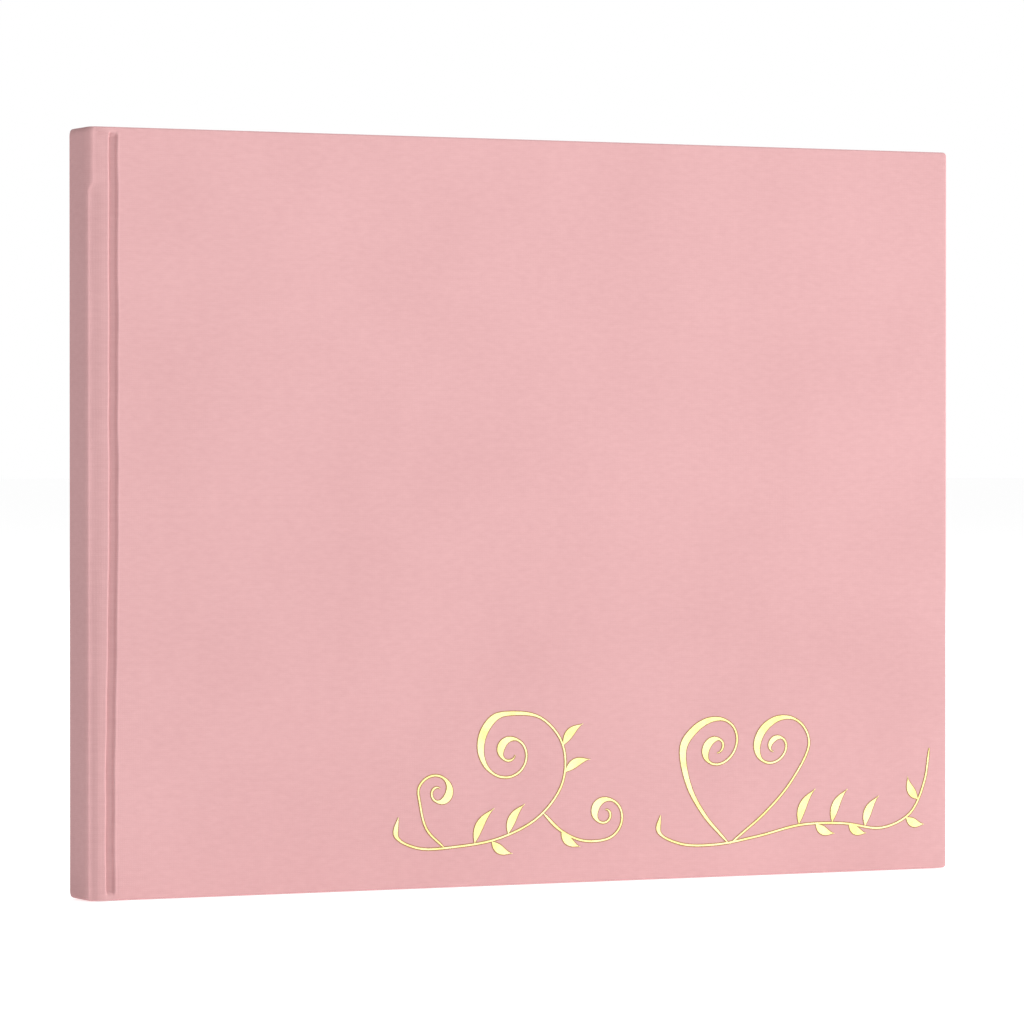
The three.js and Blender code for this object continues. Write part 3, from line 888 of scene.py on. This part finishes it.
@dataclass
class SpineBoard:
    """The stiff strip in the spine, its outer edges rounded off so that the cloth can turn them."""

    edge_radius: float = 1.2 * MM
    tolerance: float = MM / 100

    def build(self) -> bpy.types.Object:
        """Builds the board as a bevelled strip in its node's own space."""
        low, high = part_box("spine_board")
        corners = [(x, y, z) for x in (low.x, high.x) for y in (low.y, high.y) for z in (low.z, high.z)]
        sides = [(0, 1, 3, 2), (4, 6, 7, 5), (0, 4, 5, 1), (2, 3, 7, 6), (0, 2, 6, 4), (1, 5, 7, 3)]
        board = to_object("rounded_spine_board", corners, sides)
        tidy_mesh(board)
        work = bmesh.new()
        work.from_mesh(board.data)
        outer = [
            edge for edge in work.edges
            if all(abs(v.co.x - low.x) < self.tolerance for v in edge.verts)
        ]
        bmesh.ops.bevel(work, geom=outer, offset=self.edge_radius, segments=6, profile=0.5, affect="EDGES")
        work.to_mesh(board.data)
        work.free()
        shade(board, 40)
        return board


# ---- Foil ----------------------------------------------------------------------------------


@dataclass
class FoilOrnament:
    """Scrolls, a heart and a leafy vine, blocked in foil low on the front cover.

    The drawing's points, widths and lengths are in mm. The fields given in MM are in metres.
    """

    face_y: float
    base_z: float = 2.0 * MM
    hairline: float = 0.78
    full: float = 2.3
    slant: float = math.radians(-118)
    leaf_wide: float = 2.3
    rim: float = 0.19  # width of the olive outline, painted shade
    lift: float = 0.03 * MM
    rim_height: float = 0.02 * MM
    film: float = 0.06 * MM
    heart_x: float = 53.0
    heart_lean: float = 0.2
    heart_foot: float = 6.0  # height that the lean leaves where it is
    press_power: float = 1.6  # how soon a stroke swells as it turns downwards
    leaf_bow: float = 0.12  # of a leaf's length
    thinnest: float = 0.12  # bright line inside the rims

    @staticmethod
    def volute(
        centre: Point2, start_radius: float, end_radius: float, start: float, turns: float
    ) -> list[Point2]:
        """Points of a spiral round a middle. Positive turns run anticlockwise."""
        steps = max(4, round(abs(turns) * 12))
        points = []
        for i in range(steps + 1):
            share = i / steps
            radius = start_radius * (end_radius / start_radius) ** share
            angle = math.radians(start) + math.tau * turns * share
            points.append((centre[0] + radius * math.cos(angle), centre[1] + radius * math.sin(angle)))
        return points

    @staticmethod
    def distances(path: np.ndarray) -> np.ndarray:
        """How far along a line each of its points lies."""
        return np.concatenate([[0], np.cumsum(np.linalg.norm(np.diff(path, axis=0), axis=1))])

    @staticmethod
    def curve(points: Sequence[Point2], steps: int) -> np.ndarray:
        """Samples the centripetal Catmull-Rom curve through some points, with steps per span."""
        p = np.array(points, float)
        p = np.vstack([2 * p[0] - p[1], p, 2 * p[-1] - p[-2]])
        out = []
        for i in range(1, len(p) - 2):
            quad = p[i - 1 : i + 3]
            gaps = [max(1e-6, float(np.linalg.norm(quad[k + 1] - quad[k]))) ** 0.5 for k in range(3)]
            t = np.concatenate([[0.0], np.cumsum(gaps)])
            last = i == len(p) - 3
            for u in np.linspace(t[1], t[2], steps + 1)[: None if last else -1]:
                a = [
                    (t[k + 1] - u) / gaps[k] * quad[k] + (u - t[k]) / gaps[k] * quad[k + 1]
                    for k in range(3)
                ]
                b = [
                    (t[k + 2] - u) / (t[k + 2] - t[k]) * a[k] + (u - t[k]) / (t[k + 2] - t[k]) * a[k + 1]
                    for k in range(2)
                ]
                out.append((t[2] - u) / gaps[1] * b[0] + (u - t[1]) / gaps[1] * b[1])
        return np.array(out)

    def lean(self, points: Iterable[Point2]) -> list[Point2]:
        """The heart leans with the pen: higher points move to the right."""
        return [(x + self.heart_lean * (z - self.heart_foot), z) for x, z in points]

    def scroll_stem(self) -> list[Point2]:
        """The large scroll."""
        return [
            (-36, 15), (-36.5, 10.5), (-31, 7.6), (-21, 7.6), (-9, 9.4), (1.5, 14.4), (7.6, 22.5),
            (7.4, 31.5), (1.6, 37.8), (-6.4, 39), *self.volute((-6.6, 29.6), 9.4, 1.5, 115, 1.62),
        ]

    def scroll_curl(self) -> list[Point2]:
        """The small curl on the scroll's right."""
        return [(2.2, 15), (7, 10.6), (13, 8), *self.volute((18.8, 14.2), 6, 1.2, -82, 1.45)]

    def scroll_tendril(self) -> list[Point2]:
        """The tendril inside the scroll."""
        return [(-24, 7.5), (-28.6, 12), (-30.4, 18.4), *self.volute((-25.6, 20.6), 5.2, 1.1, 168, -1.3)]

    def heart_lobes(self) -> list[list[Point2]]:
        """The heart's two strokes, each from its own volute to the point."""
        hx = self.heart_x
        lobe = [
            *self.volute((hx - 8.2, 29.4), 1.3, 9.3, -434, 1.7),
            (hx - 14.2, 20.6), (hx - 8.4, 13.2), (hx - 3, 8.4), (hx, 5.9),
        ]
        other = [(hx + 0.2, 6.0)] + [(2 * hx - x, z) for x, z in reversed(lobe[:-1])]
        return [self.lean(lobe), self.lean(other)]

    def vine_stem(self) -> list[Point2]:
        """The vine that runs under the heart and up the right."""
        hx = self.heart_x
        steps = [
            (-19, 13.5), (-19.4, 9.4), (-13.5, 6.4), (-4, 5.9), (8, 7.6), (20, 10),
            (32, 10), (43, 8.6), (51, 12), (55, 19.5), (56.5, 28),
        ]
        return [(hx + x, z) for x, z in steps]

    def stroke(self, points: Sequence[Point2], taper: float = 6.0) -> Stroke:
        """A pen stroke's middle line and its widths: thick where the pen comes down."""
        path = self.curve(points, 6)
        ahead = np.gradient(path, axis=0)
        heading = np.arctan2(ahead[:, 1], ahead[:, 0])
        run = self.distances(path)
        press = np.maximum(0, np.cos(heading - self.slant)) ** self.press_power
        end = np.minimum(1, np.minimum(run, run[-1] - run) / taper)
        line = self.hairline * (0.5 + 0.5 * np.minimum(1, end * 3))
        return path, line + (self.full - self.hairline) * press * end

    def leaf(self, stem: Sequence[Point2], share: float, degrees: float, length: float) -> Stroke:
        """An almond leaf's middle line and widths. It grows from a stem and bows away from it."""
        path = self.curve(stem, 12)
        run = self.distances(path)
        root = np.array([np.interp(share * run[-1], run, path[:, k]) for k in (0, 1)])
        heading = math.radians(degrees)
        bow = self.leaf_bow * math.copysign(1, degrees) * length
        t = np.linspace(0, 1, 25)
        along, off = length * t, bow * np.sin(math.pi * t)
        forward = np.array([math.cos(heading), math.sin(heading)])
        aside = np.array([-math.sin(heading), math.cos(heading)])
        middle = root + along[:, None] * forward + off[:, None] * aside
        return middle, 0.1 + self.leaf_wide * np.sin(math.pi * t**0.8) ** 1.2

    def prism(self, name: str, path: np.ndarray, widths: np.ndarray, outer_y: float) -> bpy.types.Object:
        """A closed solid over a line of varying width, from the cover's face out to a given Y."""
        ahead = np.gradient(path, axis=0)
        ahead /= np.linalg.norm(ahead, axis=1)[:, None]
        aside = np.stack([-ahead[:, 1], ahead[:, 0]], axis=1) * widths[:, None] / 2
        edges = [path + aside, path - aside]
        count = len(path)
        verts = [
            (x * MM, y, z * MM + self.base_z)
            for y in (self.face_y - self.lift, outer_y)
            for edge in edges
            for x, z in edge
        ]
        quad = partial(face_corners, (2, count))
        faces: list[tuple[int, ...]] = []
        for i in range(count - 1):
            for level in (0, 1):
                faces.append(quad((level, 0, i), (level, 0, i + 1), (level, 1, i + 1), (level, 1, i)))
            for edge in (0, 1):
                faces.append(quad((0, edge, i), (0, edge, i + 1), (1, edge, i + 1), (1, edge, i)))
        for i in (0, count - 1):
            faces.append(quad((0, 0, i), (0, 1, i), (1, 1, i), (1, 0, i)))
        made = to_object(name, verts, faces)
        tidy_mesh(made, 1e-9)
        return made

    def unite(self, name: str, lines: Sequence[Stroke]) -> bpy.types.Object:
        """Joins lines into one film: a low rim that takes painted shade, and the bright face raised inside
        it.
        """
        low_y = self.face_y - self.lift - self.rim_height
        high_y = self.face_y - self.lift - self.film
        parts = []
        for i, (path, widths) in enumerate(lines):
            parts.append(self.prism(f"{name}_low_{i}", path, widths, low_y))
            narrow = np.maximum(widths - 2 * self.rim, self.thinnest)
            parts.append(self.prism(f"{name}_high_{i}", path, narrow, high_y))
        whole = parts[0]
        for other in parts[1:]:
            join = whole.modifiers.new("join", "BOOLEAN")
            join.operation, join.solver, join.object = "UNION", "MANIFOLD", other
            apply_modifiers(whole)
            old = other.data
            bpy.data.objects.remove(other)
            bpy.data.meshes.remove(old)
        whole.name = name
        tidy_mesh(whole, 1e-8)
        self.mark_rim(whole, high_y)
        return whole

    def mark_rim(self, film: bpy.types.Object, high_y: float) -> None:
        """Writes 0 on the bright face's corners and 1 everywhere else, where the foil's finish paints shade.
        """
        rim = film.data.attributes.new("rim", "FLOAT", "CORNER")
        values = np.ones(len(film.data.loops), np.float32)
        for face in film.data.polygons:
            if face.normal.y < -0.9 and abs(face.center.y - high_y) < self.film / 8:
                values[face.loop_start : face.loop_start + face.loop_total] = 0.0
        rim.data.foreach_set("value", values)

    def build(self) -> dict[str, bpy.types.Object]:
        """Builds the two sprays, by the node that each stands for."""
        scroll, curl, vine = self.scroll_stem(), self.scroll_curl(), self.vine_stem()
        scroll_leaves = [
            (0.2, 58, 10), (0.27, 58, 8.6), (0.235, -30, 6.5), (0.44, 24, 7.5), (0.49, 44, 7.5),
        ]
        vine_leaves = [
            (0.47, 62, 10), (0.57, 62, 9.4), (0.67, 62, 8.6), (0.52, -26, 6),
            (0.62, -26, 5.6), (0.86, 118, 6.5), (0.8, -20, 5.6),
        ]
        first = [self.stroke(scroll), self.stroke(curl, 4), self.stroke(self.scroll_tendril(), 4)]
        first += [self.leaf(scroll, *row) for row in scroll_leaves] + [self.leaf(curl, 0.14, -38, 6.5)]
        second = [self.stroke(vine)] + [self.stroke(lobe) for lobe in self.heart_lobes()]
        second += [self.leaf(vine, *row) for row in vine_leaves]
        return {
            "foil_scroll_spray": self.unite("blocked_scroll", first),
            "foil_heart_spray": self.unite("blocked_heart_and_vine", second),
        }


# ---- Geometry node trees -------------------------------------------------------------------


def new_tree(name: str, inputs: dict[str, str]) -> tuple[bpy.types.NodeTree, Adder, bpy.types.NodeOutputs]:
    """Makes a geometry tree with named inputs, and one more for the material.

    Args:
        name: The tree's name.
        inputs: Each input's name, and its socket type after NodeSocket.

    Returns:
        The tree, add_node for it, and the sockets that its inputs come in by.
    """
    tree = bpy.data.node_groups.new(name, "GeometryNodeTree")
    for title, kind in {**inputs, "Material": "Material"}.items():
        tree.interface.new_socket(title, in_out="INPUT", socket_type=f"NodeSocket{kind}")
    tree.interface.new_socket("Geometry", in_out="OUTPUT", socket_type="NodeSocketGeometry")
    return tree, partial(add_node, tree), tree.nodes.new("NodeGroupInput").outputs


def finish_tree(
    tree: bpy.types.NodeTree, geometry: bpy.types.NodeSocket, given: bpy.types.NodeOutputs
) -> None:
    """Ends a tree in Realize Instances and Set Material."""
    real = add_node(tree, "GeometryNodeRealizeInstances", {"Geometry": geometry})
    dressed = add_node(tree, "GeometryNodeSetMaterial", {"Geometry": real, "Material": given["Material"]})
    feed(tree.nodes.new("NodeGroupOutput"), {"Geometry": dressed})


def grow(name: str, tree: bpy.types.NodeTree, values: dict[str, object]) -> bpy.types.Object:
    """Runs a geometry tree and keeps its result as a plain mesh.

    Args:
        name: The new object's name.
        tree: The tree to run.
        values: Input name to value.

    Returns:
        An object that holds the finished mesh, with no modifier.
    """
    made = bpy.data.objects.new(name, bpy.data.meshes.new(name))
    bpy.context.scene.collection.objects.link(made)
    modifier = made.modifiers.new("grow", "NODES")
    modifier.node_group = tree
    for item in tree.interface.items_tree:
        if item.item_type == "SOCKET" and item.in_out == "INPUT" and item.name in values:
            modifier[item.identifier] = values[item.name]
    apply_modifiers(made)
    return made


def leaf_stack_tree() -> bpy.types.NodeTree:
    """A stack of leaves along Y, each a thin closed sheet, trimmed a hair unevenly."""
    sizes = {"Leaves": "Int", "Pitch": "Float", "Size": "Vector"}
    sizes |= {"First": "Vector", "Trim": "Float", "Seed": "Int"}
    tree, add, given = new_tree("leaf_stack", sizes)
    grid = {"Size": given["Size"], "Vertices X": 161, "Vertices Y": 2, "Vertices Z": 13}
    leaf = add("GeometryNodeMeshCube", grid, "Mesh")
    step = add("ShaderNodeCombineXYZ", {"Y": given["Pitch"]})
    row = {"Count": given["Leaves"], "Start Location": given["First"], "Offset": step}
    line = add("GeometryNodeMeshLine", row, "Mesh", mode="OFFSET")
    placed = add("GeometryNodeInstanceOnPoints", {"Points": line, "Instance": leaf})
    less = add("ShaderNodeMath", {0: given["Trim"], 1: -1.0}, operation="MULTIPLY")
    low, high = (add("ShaderNodeCombineXYZ", {"X": trim, "Z": trim}) for trim in (less, given["Trim"]))
    span = {0: low, 1: high, "Seed": given["Seed"]}
    shift = add("FunctionNodeRandomValue", span, data_type="FLOAT_VECTOR")
    moved = add("GeometryNodeTranslateInstances", {"Instances": placed, "Translation": shift})
    finish_tree(tree, moved, given)
    return tree


def end_band_tree() -> bpy.types.NodeTree:
    """A rolled core along Y with thread wound round it, turn beside turn."""
    sizes = {"Middle": "Vector", "Length": "Float", "Core": "Float"}
    sizes |= {"Thread": "Float", "Turns": "Int", "Seed": "Int"}
    tree, add, given = new_tree("end_band", sizes)
    along_y, tilt = (math.pi / 2, 0, 0), 0.05  # a quarter turn, and how far a turn of thread leans
    roll = {"Vertices": 20, "Radius": given["Core"], "Depth": given["Length"]}
    core = add("GeometryNodeMeshCylinder", roll, "Mesh")
    lay = {"Geometry": core, "Rotation": along_y, "Translation": given["Middle"]}
    laid = add("GeometryNodeTransform", lay)
    ring = add("GeometryNodeCurvePrimitiveCircle", {"Resolution": 20, "Radius": given["Core"]}, "Curve")
    strand = add("GeometryNodeCurvePrimitiveCircle", {"Resolution": 8, "Radius": given["Thread"]}, "Curve")
    turn = add("GeometryNodeCurveToMesh", {"Curve": ring, "Profile Curve": strand}, "Mesh")
    upright = add("GeometryNodeTransform", {"Geometry": turn, "Rotation": along_y})
    half = add("ShaderNodeMath", {0: given["Length"], 1: 0.5}, operation="MULTIPLY")
    offset = add("ShaderNodeCombineXYZ", {"Y": half})
    start, end = (
        add("ShaderNodeVectorMath", {0: given["Middle"], 1: offset}, operation=way)
        for way in ("SUBTRACT", "ADD")
    )
    row = {"Count": given["Turns"], "Start Location": start, "Offset": end}
    line = add("GeometryNodeMeshLine", row, "Mesh", mode="END_POINTS")
    span = {0: (-tilt, 0, -tilt), 1: (tilt, 0, tilt), "Seed": given["Seed"]}
    lean = add("FunctionNodeRandomValue", span, data_type="FLOAT_VECTOR")
    wound = add("GeometryNodeInstanceOnPoints", {"Points": line, "Instance": upright, "Rotation": lean})
    both = tree.nodes.new("GeometryNodeJoinGeometry")
    for geometry in (laid, wound):
        tree.links.new(geometry, both.inputs[0])
    finish_tree(tree, both.outputs[0], given)
    return tree


# ---- Pages ---------------------------------------------------------------------------------


@dataclass
class BookBlock:
    """The turning leaves. Each runs as a flat sheet from its folded back."""

    finishes: Finishes
    bound_x: float = -107.3 * MM  # where the folded backs let go of the leaves
    curve_end_x: float = -78.0 * MM  # past here a turned leaf is flat
    leaf_thickness: float = 0.117 * MM
    trim: float = 0.05 * MM
    leaves_in_signature: int = 8
    seed: int = 23

    def leaf_bodies(self, frame: dict) -> dict[str, int]:
        """Each turning node with its number of leaves."""
        found = {}
        for name in frame["nodes"]:
            if name.startswith("leaf_"):
                found[name] = 1
            elif name.startswith("signature_leaves_"):
                found[name] = self.leaves_in_signature
        last = max(name for name in found if name.startswith("signature_leaves_"))
        singles = [name for name in found if name.startswith("leaf_")]
        found[last] = self.leaves_in_signature - (len(singles) - self.leaves_in_signature)
        return found

    def build(self, frame: dict) -> dict[str, bpy.types.Object]:
        """Builds the leaves of every turning node, by that node's name."""
        tree = leaf_stack_tree()
        made = {}
        for order, (node, count) in enumerate(sorted(self.leaf_bodies(frame).items())):
            low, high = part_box(node)
            pitch = (high.y - low.y - self.leaf_thickness) / max(1, count - 1)
            spans = (high.x - self.bound_x, high.z - low.z)
            length, height = (span - 2 * self.trim for span in spans)
            size = (length, self.leaf_thickness, height)
            first = ((high.x + self.bound_x) / 2, low.y + self.leaf_thickness / 2, (low.z + high.z) / 2)
            made[node] = grow(
                f"paper_{node}",
                tree,
                {
                    "Leaves": count, "Pitch": pitch, "Size": size, "First": first, "Trim": self.trim,
                    "Seed": self.seed + order, "Material": self.finishes.by_slot["page_paper"],
                },
            )
        return made

    def attach(self, piece: bpy.types.Object, node: str) -> None:
        """Bakes a piece's placement into its mesh and hides the frame node that it stands for."""
        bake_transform(piece)
        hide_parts(node)


@dataclass
class Endpapers:
    """A cover's pasted-down sheet and the free flyleaf in front of the block."""

    side: Side
    half_depth: float
    board_x: float
    fold_x: float = -110.3 * MM
    mull_flap: float = 25.0 * MM
    raised: float = 3.19 * MM  # depth of the sheet where turn-ins and mull lie under it
    pressed: float = 2.83 * MM
    ramp: float = 1.3 * MM

    def under(self, x: float, z: float, low: Vector, high: Vector) -> float:
        """How much of the sheet's full height is held up by what lies under it, from 0 to 1."""
        top, tail = high.z - z, z - low.z
        square = TURN_IN - 3 * MM  # of a turn-in that the sheet covers
        edge = min(high.x - x, top, tail) - square
        flap = x - (self.board_x + self.mull_flap)
        return 1 - smoothstep(edge / self.ramp) * smoothstep(flap / self.ramp)

    def pastedown(self) -> bpy.types.Object:
        """The sheet on the board, with the turn-ins' ridge showing through it."""
        low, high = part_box(f"{self.side.word}_pastedown")
        sign = self.side.value

        def depth(x: float, z: float) -> float:
            """The sheet's outer depth at a place."""
            return self.pressed + (self.raised - self.pressed) * self.under(x, z, low, high)

        near = spread(self.fold_x, self.board_x, 20)
        far = spread(self.board_x, high.x, 150)[1:]
        rows = spread(low.z, high.z, 130)
        return sheet_solid(
            f"{self.side.word}_pastedown_sheet",
            near + far,
            rows,
            lambda x, z: sign * (self.half_depth - depth(x, z)),
            lambda x, z: sign * (self.half_depth - depth(x, z) - PAPER),
        )

    def flyleaf(self, start_x: float) -> bpy.types.Object:
        """The free half of the endpaper."""
        low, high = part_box(f"{self.side.word}_flyleaf")
        return sheet_solid(
            f"{self.side.word}_flyleaf_sheet",
            spread(start_x, high.x, 160),
            spread(low.z, high.z, 12),
            lambda x, z: low.y,
            lambda x, z: high.y,
        )


@dataclass
class EndBands:
    """The wound bands at the head and the tail of the block."""

    finishes: Finishes
    thread: float = 0.15 * MM
    seed: int = 31

    def build(self) -> dict[str, bpy.types.Object]:
        """Builds both bands, by the node that each stands for."""
        tree = end_band_tree()
        made = {}
        for order, node in enumerate(("head_band", "tail_band")):
            low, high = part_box(node)
            length = high.y - low.y - 2 * self.thread
            made[node] = grow(
                f"wound_{node}",
                tree,
                {
                    "Middle": tuple((low + high) / 2), "Length": length,
                    "Core": (high.z - low.z) / 2 - self.thread, "Thread": self.thread,
                    "Turns": round(length / (2 * self.thread)), "Seed": self.seed + order,
                    "Material": self.finishes.by_slot["band_cloth"],
                },
            )
        return made


# ---- The studio ----------------------------------------------------------------------------


@dataclass(frozen=True)
class Lamp:
    """One soft square light, in metres and watts."""

    name: str
    place: tuple[float, float, float]
    size: float
    watts: float

    def build(self, target: Vector) -> None:
        """Adds the light, pointed at a target."""
        data = bpy.data.lights.new(self.name, "AREA")
        data.shape, data.size, data.energy = "SQUARE", self.size, self.watts
        lamp = bpy.data.objects.new(self.name, data)
        lamp.location = self.place
        lamp.rotation_euler = (target - Vector(self.place)).to_track_quat("-Z", "Y").to_euler()
        bpy.context.scene.collection.objects.link(lamp)


LAMPS = (
    Lamp("key_soft", (2.6, -1.5, 1.4), 1.7, 120),
    Lamp("fill_front", (-0.5, -2.0, 0.7), 1.8, 8),
    Lamp("fill_back", (0.9, 2.2, 1.3), 1.6, 30),
)


@dataclass
class Studio:
    """A pale floor in a white room, soft light from the right, and the camera."""

    camera_place: tuple[float, float, float] = (-0.5538, -1.1192, 0.0998)
    heading: float = math.radians(26.2)
    pitch: float = math.radians(0.496)
    lens: float = 182.8
    room_light: float = 0.42
    table_glow: float = 0.6
    table_reach: float = 40.0
    table_drop: float = 0.2 * MM
    target: tuple[float, float, float] = (0.0, 0.0, 0.09)  # what the lights point at

    def floor(self) -> None:
        """Makes the table: white paper, lit a little from below as a light table is."""
        signs = ((-1, -1), (1, -1), (1, 1), (-1, 1))
        verts = [(x * self.table_reach, y * self.table_reach, -self.table_drop) for x, y in signs]
        floor = to_object("studio_floor", verts, [(0, 1, 2, 3)])
        # Matte white paper, lit through, so that it stays white beside the book's soft shadow.
        material, _, shader = new_material("seamless_paper_white")
        feed(shader, {"Base Color": linear("f4f4f4"), "Roughness": 0.95})
        feed(shader, {"Emission Color": (1, 1, 1, 1), "Emission Strength": self.table_glow})
        floor.data.materials.append(material)

    def sky(self) -> None:
        """A white room: plain white where the camera sees it, dimmer as light on the book."""
        world = bpy.data.worlds.new("studio")
        world.use_nodes = True
        tree = world.node_tree
        seen = add_node(tree, "ShaderNodeLightPath", out="Is Camera Ray")
        levels = {"Value": seen, "To Min": self.room_light, "To Max": 1.0}
        strength = add_node(tree, "ShaderNodeMapRange", levels, "Result")
        feed(tree.nodes["Background"], {"Strength": strength, "Color": (1, 1, 1, 1)})
        bpy.context.scene.world = world

    def build(self) -> None:
        """Sets the floor, the world, the lights and the camera."""
        self.floor()
        self.sky()
        bpy.context.scene.view_settings.view_transform = "Standard"
        for lamp in LAMPS:
            lamp.build(Vector(self.target))
        data = bpy.data.cameras.new("camera")
        data.lens, data.sensor_width = self.lens, 36.0
        data.clip_end = 100.0
        camera = bpy.data.objects.new("camera", data)
        camera.location = self.camera_place
        camera.rotation_euler = (math.pi / 2 - self.pitch, 0.0, -self.heading)
        bpy.context.scene.collection.objects.link(camera)
        bpy.context.scene.camera = camera


# ---- The book ------------------------------------------------------------------------------


def main() -> None:
    """Builds the book round the frame, class by class, and logs the faces of the cloth, the endpapers and the
    foil.
    """
    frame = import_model()
    Studio().build()
    finishes = Finishes()
    finishes.dress_frame(frame)

    cloth_low, cloth_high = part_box("back_cover_cloth")
    spine_low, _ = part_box("spine_cloth")
    half_depth = cloth_high.y
    low = Vector((spine_low.x, -half_depth, cloth_low.z))
    high = Vector((cloth_high.x, half_depth, cloth_high.z))

    block = BookBlock(finishes)
    for side in Side:
        case = CaseCloth(side, low, high)
        cloth = case.build()
        finishes.dress(cloth, "bookcloth")
        case.attach(cloth)
        log.info("%s: %d faces", cloth.name, len(cloth.data.polygons))

        papers = Endpapers(side, half_depth, case.board_x)
        pasted = papers.pastedown()
        finishes.dress(pasted, "endpaper")
        shade(pasted, 40)
        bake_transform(pasted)
        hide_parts(f"{side.word}_pastedown")
        free = papers.flyleaf(block.bound_x)
        finishes.dress(free, "endpaper")
        shade(free, 40)
        block.attach(free, f"{side.word}_flyleaf")
        log.info("%s endpapers: %d faces", side.word, len(pasted.data.polygons) + len(free.data.polygons))

    board = SpineBoard().build()
    finishes.dress(board, "greyboard")
    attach(board, "spine")
    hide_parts("spine_board")

    for node, film in FoilOrnament(-half_depth).build().items():
        finishes.dress(film, "gold_foil")
        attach(film, "front_cover")
        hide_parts(node)
        log.info("%s: %d faces", film.name, len(film.data.polygons))

    for node, paper in block.build(frame).items():
        finishes.dress(paper, "page_paper")
        shade(paper, 40)
        block.attach(paper, node)
    for node, band in EndBands(finishes).build().items():
        finishes.dress(band, "band_cloth")
        shade(band, 50)
        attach(band, "spine")
        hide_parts(node)
    log.info("pages and bands done")


if __name__ == "__main__":
    logging.basicConfig(level=logging.INFO, format="%(name)s: %(message)s")
    main()
